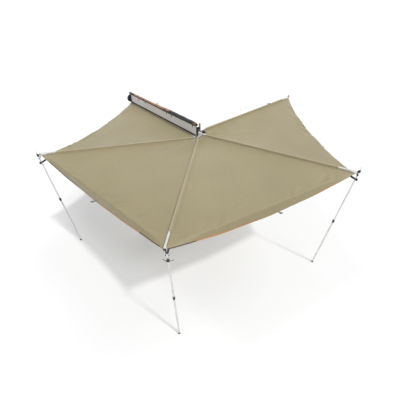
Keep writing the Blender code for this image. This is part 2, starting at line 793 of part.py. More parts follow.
class Panel:
    """One wedge of cloth between two lines from the kingpin."""

    def __init__(self, number):
        self.number = number
        self.second = number - 1
        self.angle2 = arm_angle(self.second)
        self.reach2 = leg_radius(self.second) - PANEL_CORNER_GAP
        self.offset2 = -PANEL_EDGE_OFFSET
        if number == 1:
            self.first = None
            self.angle1 = 0.0
            self.reach1 = FRONT_PANEL_REACH
            self.offset1 = -(HUB_STANDOFF - RAIL_DEPTH - GAP - LINING_THICKNESS)
        else:
            self.first = number - 2
            self.angle1 = arm_angle(self.first)
            self.reach1 = leg_radius(self.first) - PANEL_CORNER_GAP
            self.offset1 = PANEL_EDGE_OFFSET
        middle = (self.corner(0) + self.corner(1)) / 2
        self.fold = 1 - HEM_RUN / (middle.length - PANEL_INNER_RADIUS)

    def corner(self, side):
        """Level place of an outer corner from the kingpin, on the first or second side."""
        angle = self.angle2 if side else self.angle1
        reach = self.reach2 if side else self.reach1
        offset = self.offset2 if side else self.offset1
        return heading(angle) * reach + aside(angle) * offset

    def rows(self):
        """Shares of the way out at which the cloth bends: even ones, then the hem's."""
        body = [self.fold * step / BODY_ROWS for step in range(BODY_ROWS + 1)]
        return body + [self.fold + (1 - self.fold) * step / HEM_ROWS
                       for step in range(1, HEM_ROWS + 1)]

    def plan(self, across, out):
        """Level place from the kingpin: across and out both run from 0 to 1."""
        angle = self.angle1 + (self.angle2 - self.angle1) * across
        offset = self.offset1 * (1 - across) + self.offset2 * across
        inner = heading(angle) * PANEL_INNER_RADIUS + aside(angle) * offset
        chord = self.corner(1) - self.corner(0)
        inward = Vector((chord.y, -chord.x, 0)).normalized()
        if inward.dot(self.corner(0)) > 0:
            inward = -inward
        bow = PANEL_EDGE_BOWS[self.number - 1] * 4 * across * (1 - across)
        bow *= 1 + PANEL_BOW_LEANS[self.number - 1] * (2 * across - 1)
        outer = self.corner(0) + chord * across + inward * bow
        return inner.lerp(outer, out)

    def top(self, across, out):
        """World position on the cloth's upper face."""
        place = self.plan(across, out)
        distance = place.length
        height1 = under_arm(0, 0.0) if self.first is None else under_arm(self.first, distance)
        height2 = under_arm(self.second, distance)
        blend = smoothstep(across)
        hump = 4 * across * (1 - across)
        hang = max(0.0, (out - self.fold) / (1 - self.fold))
        sag = PANEL_SAG * math.sin(math.pi * out * SAG_SHIFT)
        wave = math.sin(math.tau * (HEM_WAVES * across + 0.12 * math.sin(math.tau * across)))
        droop = HEM_DROOP * hang * hang * (2 - hang)
        ripple = HEM_RIPPLE * wave * hump ** 0.5 * smoothstep(1 - (1 - out) / RIPPLE_REACH)
        height = height1 * (1 - blend) + height2 * blend - PANEL_SEAT
        height -= hump * (sag + droop) + ripple
        return Vector((PIVOT.x + place.x, PIVOT.y + place.y, height))


def build_panel(build, panel):
    rows = panel.rows()
    mesh = bpy.data.meshes.new(f"canopy_panel_{panel.number}")
    shape = bmesh.new()
    last = len(rows) - 1
    bmesh.ops.create_grid(shape, x_segments=PANEL_COLUMNS, y_segments=last, size=1.0)
    for vert in shape.verts:
        across = (vert.co.x + 1) / 2
        vert.co = panel.top(across, rows[round((vert.co.y + 1) / 2 * last)])
    for face in shape.faces:
        face.normal_update()
        if face.normal.z < 0:
            face.normal_flip()
    shape.to_mesh(mesh)
    shape.free()
    cloth = build.place(mesh.name, mesh, "canopy_cloth", smooth=60)
    solid = cloth.modifiers.new("cloth", "SOLIDIFY")
    solid.thickness = CLOTH_THICKNESS
    solid.offset = -1.0
    return cloth


# Webbing loops with their rings

def ring_bow():
    """Centre of the ring's wire at the middle of its bow, from the middle of its bar."""
    return Matrix.Rotation(-math.radians(RING_LIFT_ANGLE), 4, "Y") @ Vector((RING_DEPTH, 0, 0))


def ring_curve(name, lift_angle):
    """A D-shaped ring with its straight bar along Y at the origin and its bow lifted."""
    half = RING_BAR / 2
    corner = 0.004
    points = [(0, -half + corner), (0, half - corner)]
    points += arc_points((corner, half - corner), corner, 180, 90, 2)[1:]
    points += arc_points((RING_DEPTH - half, 0), half, 90, -90, 6)
    points += arc_points((corner, -half + corner), corner, 270, 180, 2)[:-1]
    curve = new_tube(name, RING_WIRE_RADIUS, 1)
    spline = curve.splines.new("POLY")
    spline.points.add(len(points) - 1)
    spline.use_cyclic_u = True
    rise = math.radians(lift_angle)
    for point, (u, v) in zip(spline.points, points):
        point.co = (u * math.cos(rise), v, u * math.sin(rise), 1.0)
    return curve


def ring_with_tab(build, name, frame, lift_angle=0.0):
    """A ring and the webbing tab folded round its bar and sewn tight."""
    ring = build.place(name, mesh_of_curve(ring_curve(name, lift_angle)), "steel", frame)
    fold = RING_WIRE_RADIUS + LOOP_TAB_THICKNESS
    strip = arc_points((0, 0), fold, 90, -130, 10)
    strip += [(-LOOP_TAB_LENGTH, fold - LOOP_TAB_THICKNESS), (-LOOP_TAB_LENGTH, fold)]
    tab = outline_mesh(name + "_tab", [strip], LOOP_TAB_WIDTH, "XZ")
    build.combine(ring, build.tool(name + "_tab", tab, ring), "UNION")
    return ring, fold


def band_points(middle, thickness):
    """Outline of a strip of even thickness along a bent middle line."""
    above = []
    below = []
    for k, point in enumerate(middle):
        before = middle[max(k - 1, 0)]
        after = middle[min(k + 1, len(middle) - 1)]
        first = (point - before).normalized() if k else (after - point).normalized()
        second = (after - point).normalized() if k + 1 < len(middle) else first
        run = (first + second).normalized()
        side = Vector((-run.y, run.x)) * thickness / 2 / max(run.dot(first), 0.3)
        above.append(tuple(point + side))
        below.append(tuple(point - side))
    return above + below[::-1]


def build_edge_rings(build, panels):
    """A ring out from the edge of each free hem, on a webbing tab sewn up inside the hem."""
    lift = math.radians(LOOP_LIFT_ANGLE)
    for panel, label, column in zip(panels[1:], ("ab", "bc", "cd"), LOOP_COLUMNS):
        across = column / PANEL_COLUMNS
        step = 1 / PANEL_COLUMNS
        name = f"edge_ring_{label}"
        end = panel.top(across, 1.0)
        run = end - panel.top(across, panel.rows()[-2])
        edge = panel.top(across + step, 1.0) - panel.top(across - step, 1.0)
        tilt = edge.z / edge.to_2d().length
        edge = Vector((edge.x, edge.y, 0)).normalized()
        outward = Vector((edge.y, -edge.x, 0))
        fall = (run.z - run.dot(edge) * tilt) / run.dot(outward)
        yaw = math.atan2(outward.y, outward.x)
        frame = build.frame(name + "_frame", end, (math.atan(tilt), 0, yaw))
        item, fold = ring_with_tab(build, name, frame)
        down = Vector((1, fall)).normalized()
        inside = Vector((down.y, -down.x))
        seat = inside * (CLOTH_THICKNESS + 2 * GAP + LOOP_TAB_THICKNESS / 2)
        out = Vector((math.cos(lift), math.sin(lift)))
        bend = seat + down * 0.004
        above = Vector((-out.y, out.x)) * (fold - LOOP_TAB_THICKNESS / 2)
        place = bend + out * LOOP_TAB_LENGTH - above
        item.location = (place.x, 0, place.y)
        item.rotation_euler = (0, -lift, 0)
        middle = [seat - down * LOOP_SEWN_LENGTH, bend, bend + out * 0.012]
        loop = band_points(middle, LOOP_TAB_THICKNESS)
        sewn = outline_mesh(name + "_sewn", [loop], LOOP_TAB_WIDTH, "XZ")
        build.combine(item, build.tool(name + "_sewn", sewn, frame), "UNION")


# Legs

def leg_frame(build, index):
    """The hinge point of a leg, in line with its arm and upright."""
    angle = arm_angle(index)
    radius = leg_radius(index)
    along = radius * math.cos(RISE) + HINGE_DROP * math.sin(RISE)
    height = radius * math.sin(RISE) - HINGE_DROP * math.cos(RISE)
    place = PIVOT + heading(angle) * along + aside(angle) * LEG_OFFSET
    place.z += arm_level(index) + height
    return build.frame(f"leg_{ARM_NAMES[index]}_frame", place, (0, 0, math.radians(angle + 180)))


def build_leg(build, index, frame, panels):
    prefix = f"leg_{ARM_NAMES[index]}"
    hinge = frame.location
    ground = -GROUND_DROP - hinge.z
    build_head(build, prefix, frame)
    tube_top = -HEAD_BELOW - GAP
    tube_inner = UPPER_TUBE_RADIUS - UPPER_TUBE_WALL
    upper = [
        (UPPER_TUBE_RADIUS, tube_top), (UPPER_TUBE_RADIUS, tube_top - UPPER_TUBE_LENGTH),
        (tube_inner, tube_top - UPPER_TUBE_LENGTH), (tube_inner, tube_top),
    ]
    build.turned(prefix + "_upper_tube", upper, "aluminium", frame, closed=True)

    tube_low = ground + FOOT_SOLE + GAP
    lower_top = tube_low + LOWER_TUBE_LENGTH
    lower_inner = LOWER_TUBE_RADIUS - LOWER_TUBE_WALL
    lower = [
        (LOWER_TUBE_RADIUS, lower_top), (LOWER_TUBE_RADIUS, tube_low),
        (lower_inner, tube_low), (lower_inner, lower_top),
    ]
    build.turned(prefix + "_lower_tube", lower, "aluminium", frame, closed=True)
    build_collar(build, prefix, frame, lower_top)
    build_foot(build, prefix, frame, ground, tube_low)
    build_strap(build, prefix, frame, panels)


def build_head(build, prefix, frame):
    """Hinge head: tube plug, bored barrel, knob and the spike that takes the eyelets."""
    knob_low = HINGE_DROP - KNOB_HEIGHT / 2 + 0.004
    knob_high = knob_low + KNOB_HEIGHT
    plug = UPPER_TUBE_RADIUS - UPPER_TUBE_WALL - RUNNING_GAP
    neck = 0.0085
    profile = [
        (0.0, knob_high + SPIKE_HEIGHT), (SPIKE_RADIUS * 0.35, knob_high + SPIKE_HEIGHT),
        (SPIKE_RADIUS, knob_high + SPIKE_HEIGHT - 0.010), (SPIKE_RADIUS, knob_high + 0.002),
        (neck, knob_high), (KNOB_RADIUS * 0.86, knob_high - 0.004),
        (KNOB_RADIUS, knob_high - 0.012), (KNOB_RADIUS, knob_low + 0.010),
        (HEAD_RADIUS, knob_low), (HEAD_RADIUS, -HEAD_BELOW), (plug, -HEAD_BELOW),
        (plug, -HEAD_BELOW - 0.028), (0.0, -HEAD_BELOW - 0.028),
    ]
    head = build.turned(prefix + "_head", profile, "black_plastic", frame)
    bore = build.rod(prefix + "_hinge_bore", HINGE_BOLT_RADIUS + RUNNING_GAP, 0.1, frame,
                     rotation=(math.pi / 2, 0, 0))
    build.combine(head, bore, "DIFFERENCE")


def build_collar(build, prefix, frame, lower_top):
    """Twist-lock collar on the top of the outer tube, round the inner one."""
    low_bore = LOWER_TUBE_RADIUS / math.cos(math.pi / FACETS) + GAP
    high_bore = UPPER_TUBE_RADIUS / math.cos(math.pi / FACETS) + GAP
    shelf = lower_top + GAP
    top = lower_top + COLLAR_ABOVE
    low = lower_top - COLLAR_BELOW
    profile = [
        (high_bore, top), (COLLAR_RADIUS - 0.003, top), (COLLAR_RADIUS, top - 0.006),
        (COLLAR_RADIUS, low + 0.004), (COLLAR_RADIUS - 0.0015, low), (low_bore, low),
        (low_bore, shelf), (high_bore, shelf),
    ]
    build.turned(prefix + "_collar", profile, "black_plastic", frame, closed=True)


def build_foot(build, prefix, frame, ground, tube_low):
    """Rubber foot: a cup round the tube's end with a plug up inside it."""
    cup = LOWER_TUBE_RADIUS + GAP
    plug = LOWER_TUBE_RADIUS - LOWER_TUBE_WALL - RUNNING_GAP
    floor = tube_low - GAP
    profile = [
        (0.0, floor + 0.022), (plug, floor + 0.022), (plug, floor), (cup, floor),
        (cup, ground + FOOT_HEIGHT), (cup + 0.0012, ground + FOOT_HEIGHT),
        (FOOT_RADIUS, ground + FOOT_SOLE), (FOOT_RADIUS, ground + 0.002),
        (FOOT_RADIUS - 0.002, ground), (0.0, ground),
    ]
    build.turned(prefix + "_foot", profile, "rubber", frame)


def cloth_floor(panels, place, reach):
    """Lowest underside of the panels' corners within a level distance of a world place."""
    lowest = place.z + 1.0
    for panel in panels:
        for row in range(13):
            for column in range(25):
                share = 0.001 * column
                for across in (share, 1 - share):
                    point = panel.top(across, 1 - 0.01 * row)
                    if math.hypot(point.x - place.x, point.y - place.y) < reach:
                        lowest = min(lowest, point.z)
    return lowest - CLOTH_THICKNESS


def build_strap(build, prefix, frame, panels):
    """Webbing cuff round the leg, with its strap up under the arm and the canopy's corner."""
    inner = UPPER_TUBE_RADIUS / math.cos(math.pi / FACETS) + GAP
    outer = inner + STRAP_THICKNESS
    high = -STRAP_DROP + STRAP_WIDTH / 2
    low = -STRAP_DROP - STRAP_WIDTH / 2
    cuff = [(outer, high), (outer, low), (inner, low), (inner, high)]
    strap = build.turned(prefix + "_strap", cuff, "webbing", frame, closed=True)
    reach = PANEL_CORNER_GAP + STRAP_RUN_IN
    turn = math.atan2(LEG_OFFSET - STRAP_WIDTH / 3, reach)
    run_out = math.hypot(reach, LEG_OFFSET - STRAP_WIDTH / 3)
    bpy.context.view_layer.update()
    inward = Matrix.Rotation(turn, 4, "Z") @ Vector((-run_out, 0, 0))
    tail_end = frame.matrix_world @ inward
    top = cloth_floor(panels, tail_end, STRAP_TAIL + STRAP_WIDTH) - tail_end.z - 2 * GAP
    half = STRAP_THICKNESS / 2
    start = Vector((-inner - half, -STRAP_DROP + STRAP_WIDTH / 4))
    bend = Vector((-run_out + STRAP_TAIL, top - half))
    run = (bend - start).normalized()
    side = Vector((-run.y, run.x)) * half
    loop = [start + side, start - side, bend - side]
    loop += [(-run_out + STRAP_TAIL, top), (-run_out, top), (-run_out, top - 2 * half)]
    loop += [bend + side]
    loop = [tuple(point) for point in loop]
    band = outline_mesh(prefix + "_band", [loop], STRAP_WIDTH, "XZ")
    tool = build.tool(prefix + "_band", band, frame, rotation=(0, 0, turn))
    build.combine(strap, tool, "UNION")


# Guy rope

def between(before, start, end, after, share):
    """A point on the smooth curve from start to end, given the places beside them."""
    places = [before, start, end, after]
    knots = [0.0]
    for first, second in zip(places, places[1:]):
        knots.append(knots[-1] + max((second - first).length, 1e-6) ** 0.5)
    at = knots[1] + (knots[2] - knots[1]) * share
    while len(places) > 1:
        level = 4 - len(places)
        places = [
            first.lerp(second, (at - knots[k]) / (knots[k + 1 + level] - knots[k]))
            for k, (first, second) in enumerate(zip(places, places[1:]))
        ]
    return places[0]


def smooth_route(stretches):
    """Points along one smooth curve; each stretch gives its places and their spacing."""
    corners = [(place, spacing) for places, spacing in stretches for place in places]
    places = [place for place, _ in corners]
    padded = [places[0] * 2 - places[1]] + places + [places[-1] * 2 - places[-2]]
    points = []
    for k, (place, spacing) in enumerate(corners[:-1]):
        steps = max(1, round((places[k + 1] - place).length / spacing))
        for step in range(steps):
            points.append(between(*padded[k:k + 4], step / steps))
    points.append(places[-1])
    return points


def eye_places(centre, away, lift):
    """The rope's eye through the ring, from its whipped end round to the standing part."""
    flat = [(-5.2, 0.9), (-3.8, 0.55), (-2.5, -0.5), (-1.5, -1.45), (0.0, -2.0), (1.42, -1.42),
            (2.0, 0.0), (1.42, 1.42), (0.0, 2.0), (-2.0, 2.0 + 2 * lift)]
    diameter = 2 * ROPE_RADIUS
    return [centre + (away * u + Vector((0, 0, v))) * diameter for u, v in flat]


def build_guy(build, arm_d_frame):
    """Rope from a ring on the last arm to the end of the rack, with its hitch and tail."""
    sleeve_top = ARM_HEIGHT / 2 + SLEEVE_EASE + SLEEVE_THICKNESS
    ring, fold = ring_with_tab(build, "guy_ring", arm_d_frame, RING_LIFT_ANGLE)
    ring_place = leg_radius(3) - SLEEVE_END_GAP - GUY_SETBACK
    ring.location = (ring_place, 0, sleeve_top + GAP + fold)
    ring.rotation_euler = (0, 0, math.pi)
    bpy.context.view_layer.update()
    wire = ring.matrix_world @ ring_bow()
    hitch = PIVOT + Vector(GUY_HITCH)
    away = Vector((wire.x - hitch.x, wire.y - hitch.y, 0)).normalized()
    centre = wire - away * ROPE_RADIUS * 1.6
    start = centre + Vector((0, 0, 4 * ROPE_RADIUS))
    lift = (hitch.z + GUY_HITCH_RADIUS - start.z) / (hitch - start).length
    eye = eye_places(centre, away, lift)

    turns = []
    for step in range(12):
        angle = math.radians(55 + 27.5 * step)
        turns.append(hitch + Vector((GUY_HITCH_RADIUS * math.cos(angle), 0.004 - 0.0011 * step,
                                     GUY_HITCH_RADIUS * math.sin(angle))))
    run = turns[0] - eye[-1]
    taut = []
    for share in (0.06, 0.2, 0.5, 0.8, 0.94):
        slack = Vector((0, 0, -GUY_SLACK * 4 * share * (1 - share)))
        taut.append(eye[-1] + run * share + slack)
    drop = turns[-1]
    tail = []
    for share in (0.15, 0.4, 0.7, 1.0):
        swing = Vector((0.004 * share, -0.012 * math.sin(share * 2.2), -GUY_TAIL * share))
        tail.append(drop + swing)
    points = smooth_route([(eye, 0.005), (taut, 0.0165), (turns, 0.009), (tail, 0.0125)])
    curve = new_tube("guy_rope", ROPE_RADIUS, 2)
    spline = curve.splines.new("POLY")
    spline.points.add(len(points) - 1)
    for point, place in zip(spline.points, points):
        point.co = (*place, 1.0)
    build.place("guy_rope", curve, "rope")


def main():
    clear_scene()
    build = Builder()
    build_rail(build)
    build_bag(build)
    hub, bore = build_hub(build)
    build_brackets(build)
    panels = [Panel(number) for number in (1, 2, 3, 4)]
    for index in range(len(ARM_NAMES)):
        frame = arm_frame(build, index)
        build_arm(build, index, frame, hub, bore)
        build_leg(build, index, leg_frame(build, index), panels)
    for panel in panels:
        build_panel(build, panel)
    build_edge_rings(build, panels)
    build_guy(build, bpy.data.objects["arm_d_frame"])


main()
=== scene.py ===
import math

import bmesh
import bpy
from mathutils import Matrix, Vector, noise
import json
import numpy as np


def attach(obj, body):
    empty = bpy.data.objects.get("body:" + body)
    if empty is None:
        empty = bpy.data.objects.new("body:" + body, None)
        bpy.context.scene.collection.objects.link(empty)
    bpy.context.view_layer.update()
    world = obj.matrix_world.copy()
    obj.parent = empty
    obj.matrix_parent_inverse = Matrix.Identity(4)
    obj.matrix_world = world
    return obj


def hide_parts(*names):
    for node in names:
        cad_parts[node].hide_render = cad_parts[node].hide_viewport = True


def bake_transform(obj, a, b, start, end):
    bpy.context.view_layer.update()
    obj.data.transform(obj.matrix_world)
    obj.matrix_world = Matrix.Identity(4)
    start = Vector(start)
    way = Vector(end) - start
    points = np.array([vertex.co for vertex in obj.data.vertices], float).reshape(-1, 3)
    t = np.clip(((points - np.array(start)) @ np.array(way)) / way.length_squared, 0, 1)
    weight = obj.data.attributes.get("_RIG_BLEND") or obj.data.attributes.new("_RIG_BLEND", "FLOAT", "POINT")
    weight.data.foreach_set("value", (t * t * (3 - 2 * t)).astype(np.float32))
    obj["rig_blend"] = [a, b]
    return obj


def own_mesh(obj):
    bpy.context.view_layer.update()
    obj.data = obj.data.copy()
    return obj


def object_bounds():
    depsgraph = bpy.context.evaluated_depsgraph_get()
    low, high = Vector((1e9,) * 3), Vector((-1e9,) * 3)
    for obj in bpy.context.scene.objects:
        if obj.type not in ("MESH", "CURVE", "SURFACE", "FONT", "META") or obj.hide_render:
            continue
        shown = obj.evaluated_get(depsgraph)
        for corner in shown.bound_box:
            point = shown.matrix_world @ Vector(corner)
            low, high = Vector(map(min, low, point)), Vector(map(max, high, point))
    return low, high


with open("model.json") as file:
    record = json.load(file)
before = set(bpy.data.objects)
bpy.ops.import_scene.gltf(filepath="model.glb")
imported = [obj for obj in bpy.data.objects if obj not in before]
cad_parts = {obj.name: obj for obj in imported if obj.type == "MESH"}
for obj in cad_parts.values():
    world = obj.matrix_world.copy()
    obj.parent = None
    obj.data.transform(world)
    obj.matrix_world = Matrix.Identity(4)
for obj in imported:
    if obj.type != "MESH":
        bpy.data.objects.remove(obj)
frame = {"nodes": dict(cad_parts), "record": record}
cad_low, cad_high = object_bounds()

# Sizes and places that the CAD model has too, in metres

RAIL_LENGTH = 2.19
RAIL_HEIGHT = 0.192
RAIL_DEPTH = 0.025
PIVOT = Vector((1.155, -0.047, -0.009))
ARM_NAMES = ("a", "b", "c", "d")
FIRST_ARM_ANGLE = 62.35
ARM_SPACING = 67.5
RISE = math.radians(1.4)
ARM_PITCH = 0.036
ARM_WIDTH = 0.024
ARM_HEIGHT = 0.030
LEG_RADIUS_FIRST = 2.494
LEG_RADIUS_STEP = 0.036
CLOTH_THICKNESS = 0.0012
PANEL_INNER_RADIUS = 0.110
PANEL_CORNER_GAP = 0.030
PANEL_EDGE_OFFSET = 0.0008
FRONT_PANEL_REACH = 2.245
PANEL_SEAT = 0.0008
PANEL_SAG = 0.040
SAG_SHIFT = 0.62
PANEL_EDGE_BOWS = (0.084, 0.028, 0.016, 0.050)
PANEL_BOW_LEANS = (1.0, 0.0, 0.0, 0.0)
HEM_RUN = 0.055
HEM_DROOP = 0.115
HEM_WAVES = 4.5
HEM_RIPPLE = 0.005
RIPPLE_REACH = 0.16
PANEL_COLUMNS = 24
SLEEVE_START = 0.140
SLEEVE_END_GAP = 0.250
SLEEVE_THICKNESS = 0.0012
SLEEVE_EASE = 0.0006
LINING_THICKNESS = 0.0012
LINING_MARGIN = 0.018
ROLL_FRONT_RADIUS = 0.026
ROLL_REAR_RADIUS = 0.036
ROLL_SETBACK = 0.036
GUSSET_REACH = 0.046
GUSSET_LIFT = 0.009
GUSSET_THICKNESS = 0.030
ZIP_TAPE_WIDTH = 0.012
ZIP_BEAD_RADIUS = 0.0022
TIE_WIDTH = 0.016
TIE_PLACES = (0.16, 0.27, 0.60, 0.67, 0.94)
HINGE_DROP = 0.050
HEAD_RADIUS = 0.014
CHEEK = 0.005
UPPER_TUBE_RADIUS = 0.01075
TUBE_FACETS = 16
STRAP_DROP = 0.075
STRAP_WIDTH = 0.020
STRAP_THICKNESS = 0.0016
STRAP_RUN_IN = 0.105
STRAP_TAIL = 0.022
RING_BAR = 0.030
RING_DEPTH = 0.026
RING_LIFT_ANGLE = 25
LOOP_TAB_WIDTH = 0.020
LOOP_TAB_LENGTH = 0.034
LOOP_TAB_THICKNESS = 0.0013
LOOP_SEWN_LENGTH = 0.030
LOOP_LIFT_ANGLE = 30
LOOP_COLUMNS = (12, 13, 8)
ROPE_RADIUS = 0.00225
GUY_SETBACK = 0.396
GUY_HITCH = Vector((-0.008, 1.065, 0.150))
GUY_HITCH_RADIUS = 0.019
GUY_SLACK = 0.004
GUY_TAIL = 0.110
GAP = 0.0003

RAIL_END = RAIL_LENGTH / 2
RAIL_TOP = RAIL_HEIGHT / 2
RAIL_FACE = -RAIL_DEPTH - GAP
LINING_FACE = RAIL_FACE - LINING_THICKNESS
LEG_OFFSET = ARM_WIDTH / 2 + CHEEK + GAP + HEAD_RADIUS

# Camera at the photograph's viewing angle

CAMERA_PLACE = Vector((4.005, -2.631, 1.962))
YAW, PITCH, ROLL = math.radians(47.60), math.radians(42.01), math.radians(-0.11)
FOCAL_PIXELS = 246.5
PHOTO_WIDTH = 400
SENSOR_WIDTH = 36.0
FAR_CLIP = 500.0


def add_camera():
    forward = Vector((-math.sin(YAW) * math.cos(PITCH), math.cos(YAW) * math.cos(PITCH),
                      -math.sin(PITCH)))
    right = forward.cross(Vector((0, 0, 1))).normalized()
    up = right.cross(forward)
    right, up = (right * math.cos(ROLL) + up * math.sin(ROLL),
                 up * math.cos(ROLL) - right * math.sin(ROLL))
    data = bpy.data.cameras.new("camera")
    data.sensor_width = SENSOR_WIDTH
    data.lens = FOCAL_PIXELS / PHOTO_WIDTH * SENSOR_WIDTH
    data.clip_end = FAR_CLIP
    camera = bpy.data.objects.new("camera", data)
    bpy.context.scene.collection.objects.link(camera)
    turn = Matrix((right, up, -forward)).transposed().to_4x4()
    camera.matrix_world = Matrix.Translation(CAMERA_PLACE) @ turn
    bpy.context.scene.camera = camera


add_camera()

# Places along the arms


def arm_body(index):
    return f"arm_{ARM_NAMES[index]}"


def arm_level(index):
    return (index - 1.5) * ARM_PITCH


def arm_angle(index):
    return FIRST_ARM_ANGLE + ARM_SPACING * index


def leg_radius(index):
    return LEG_RADIUS_FIRST - LEG_RADIUS_STEP * index


def heading(angle):
    turned = math.radians(angle)
    return Vector((-math.cos(turned), -math.sin(turned), 0.0))


def aside(angle):
    turned = math.radians(angle)
    return Vector((math.sin(turned), -math.cos(turned), 0.0))


def under_arm(index, distance):
    """The height of an arm's underside at a distance from the kingpin."""
    centre = PIVOT.z + arm_level(index) + distance * math.tan(RISE)
    return centre - ARM_HEIGHT / 2 / math.cos(RISE)


def arm_matrix(index):
    """Places an arm's own frame, which has X along the arm."""
    place = PIVOT + Vector((0, 0, arm_level(index)))
    turn = Matrix.Rotation(math.radians(arm_angle(index) + 180), 4, "Z")
    return Matrix.Translation(place) @ turn @ Matrix.Rotation(-RISE, 4, "Y")


def leg_matrix(index):
    """Places a leg's own frame: its hinge, with X level along the arm."""
    angle = arm_angle(index)
    radius = leg_radius(index)
    reach = radius * math.cos(RISE) + HINGE_DROP * math.sin(RISE)
    height = radius * math.sin(RISE) - HINGE_DROP * math.cos(RISE)
    place = PIVOT + heading(angle) * reach + aside(angle) * LEG_OFFSET
    place.z += arm_level(index) + height
    return Matrix.Translation(place) @ Matrix.Rotation(math.radians(angle + 180), 4, "Z")


def smoothstep(value):
    value = min(max(value, 0.0), 1.0)
    return value * value * (3 - 2 * value)


def shares(count):
    """Evenly spaced numbers from 0 to 1."""
    return [k / count for k in range(count + 1)]


# Materials


class Nodes:
    """The node tree of a material or the world, cleared and then built in small steps."""

    def __init__(self, owner, output):
        owner.use_nodes = True
        self.tree = owner.node_tree
        self.tree.nodes.clear()
        self.output = self.node(output)

    def node(self, kind, sockets=None, **settings):
        """A new node; sockets gives its inputs by name or number."""
        made = self.tree.nodes.new(kind)
        for name, value in settings.items():
            setattr(made, name, value)
        for name, value in (sockets or {}).items():
            self.feed(made.inputs[name], value)
        return made

    def feed(self, socket, value):
        """Joins an output to an input, or sets a constant on the input itself."""
        if isinstance(value, bpy.types.NodeSocket):
            self.tree.links.new(value, socket)
        elif socket.type == "RGBA":
            socket.default_value = (*value, 1.0)
        else:
            socket.default_value = value

    def math(self, operation, first, second):
        return self.node("ShaderNodeMath", {0: first, 1: second}, operation=operation).outputs[0]

    def light(self, kind, colour, strength):
        return self.node(kind, {"Color": colour, "Strength": strength}).outputs[0]

    def seen(self):
        """1 where the camera looks, straight on or by a reflection or through glass, else 0."""
        rays = self.node("ShaderNodeLightPath").outputs
        either = self.math("MAXIMUM", rays["Is Camera Ray"], rays["Is Glossy Ray"])
        return self.math("MAXIMUM", either, rays["Is Transmission Ray"])

    def finish(self, source):
        self.feed(self.output.inputs["Surface"], source)

    def finish_mixed(self, share, first, second):
        self.finish(self.node("ShaderNodeMixShader", {0: share, 1: first, 2: second}).outputs[0])


class Shade(Nodes):
    """One node material round a principled shader."""

    def __init__(self, name):
        self.material = bpy.data.materials.new(name)
        super().__init__(self.material, "ShaderNodeOutputMaterial")
        self.shader = self.node("ShaderNodeBsdfPrincipled")
        self.finish(self.shader.outputs[0])
        self.place = self.node("ShaderNodeTexCoord").outputs["Object"]

    def scaled(self, *scale):
        return self.node("ShaderNodeMapping", {"Vector": self.place, "Scale": scale}).outputs[0]

    def noise(self, scale, detail, rough, vector=None):
        return self.node("ShaderNodeTexNoise", {
            "Vector": vector or self.place, "Scale": scale, "Detail": detail,
            "Roughness": rough}).outputs["Fac"]

    def wave(self, pitch, axis, distortion, vector=None):
        """Bands a pitch apart."""
        return self.node("ShaderNodeTexWave", {
            "Vector": vector or self.place, "Scale": math.pi / (20 * pitch),
            "Distortion": distortion}, wave_type="BANDS", bands_direction=axis).outputs["Fac"]

    def ramp(self, source, *stops):
        made = self.node("ShaderNodeValToRGB", {"Fac": source})
        for element, (place, colour) in zip(made.color_ramp.elements, stops):
            element.position = place
            element.color = (*colour, 1.0)
        return made.outputs["Color"]

    def span(self, source, low, high, start=0.0, end=1.0):
        return self.node("ShaderNodeMapRange", {
            "Value": source, "From Min": start, "From Max": end, "To Min": low,
            "To Max": high}).outputs["Result"]

    def blend(self, share, first, second, mode="MIX"):
        return self.node("ShaderNodeMix", {"Factor": share, "A": first, "B": second},
                         data_type="RGBA", blend_type=mode).outputs["Result"]

    def bump(self, height, depth, strength=1.0, under=None):
        sockets = {"Height": height, "Distance": depth, "Strength": strength}
        if under is not None:
            sockets["Normal"] = under
        return self.node("ShaderNodeBump", sockets).outputs[0]

    def use(self, **values):
        """Feeds the principled shader and gives back the material."""
        for name, value in values.items():
            self.feed(self.shader.inputs[name.replace("_", " ")], value)
        return self.material


def times(colour, factor, added=0.0):
    """A colour made darker or lighter, up to white."""
    return tuple(min(channel * factor + added, 1.0) for channel in colour)


def woven(name, colour, pitch, contrast=0.10, patch=0.06, rough=0.50, sheen=0.4,
          depth=0.00012, hem=0.0):
    """Plain-woven cloth: two crossed sets of threads, slow patches of tone, light sheen, and painted shade
    on the hem flap where hem is given.
    """
    shade = Shade(name)
    warp, weft, upright = (shade.wave(pitch, axis, 0.4) for axis in "XYZ")
    weave = shade.math("MULTIPLY", shade.math("ADD", warp, weft), 0.5)
    weave = shade.math("ADD", shade.math("MULTIPLY", weave, 0.75),
                       shade.math("MULTIPLY", upright, 0.25))
    slow = shade.noise(1.7, 4.0, 0.55)
    fine = shade.noise(24.0, 5.0, 0.65)
    base = shade.ramp(slow, (0.30, times(colour, 1 - patch)), (0.70, times(colour, 1 + patch)))
    threads = shade.ramp(shade.span(weave, 1 - contrast, 1.0), (0.0, (0, 0, 0)), (1.0, (1, 1, 1)))
    base = shade.blend(1.0, base, threads, "MULTIPLY")
    base = shade.blend(shade.span(fine, 0.0, 0.35, 0.45, 0.8), base, times(colour, 0.92))
    # Painted shade: the hem flap is blended towards a darker, warmer tint, standing for the shade on the
    # turned-down cloth.
    if hem:
        flap = shade.node("ShaderNodeAttribute", attribute_name=HEM_SHADE_MARK).outputs["Fac"]
        painted_hem_shade = shade.math("MULTIPLY", flap, shade.span(fine, hem * 0.75, hem * 1.25, 0.3, 0.7))
        under = tuple(channel * share for channel, share in zip(colour, HEM_SHADE_TINT))
        base = shade.blend(painted_hem_shade, base, under)
    return shade.use(Base_Color=base, Roughness=shade.span(fine, rough - 0.06, rough + 0.06),
                     Normal=shade.bump(slow, 0.0012, 0.4, shade.bump(weave, depth)),
                     Sheen_Weight=sheen, Sheen_Roughness=0.35, Specular_IOR_Level=0.5)


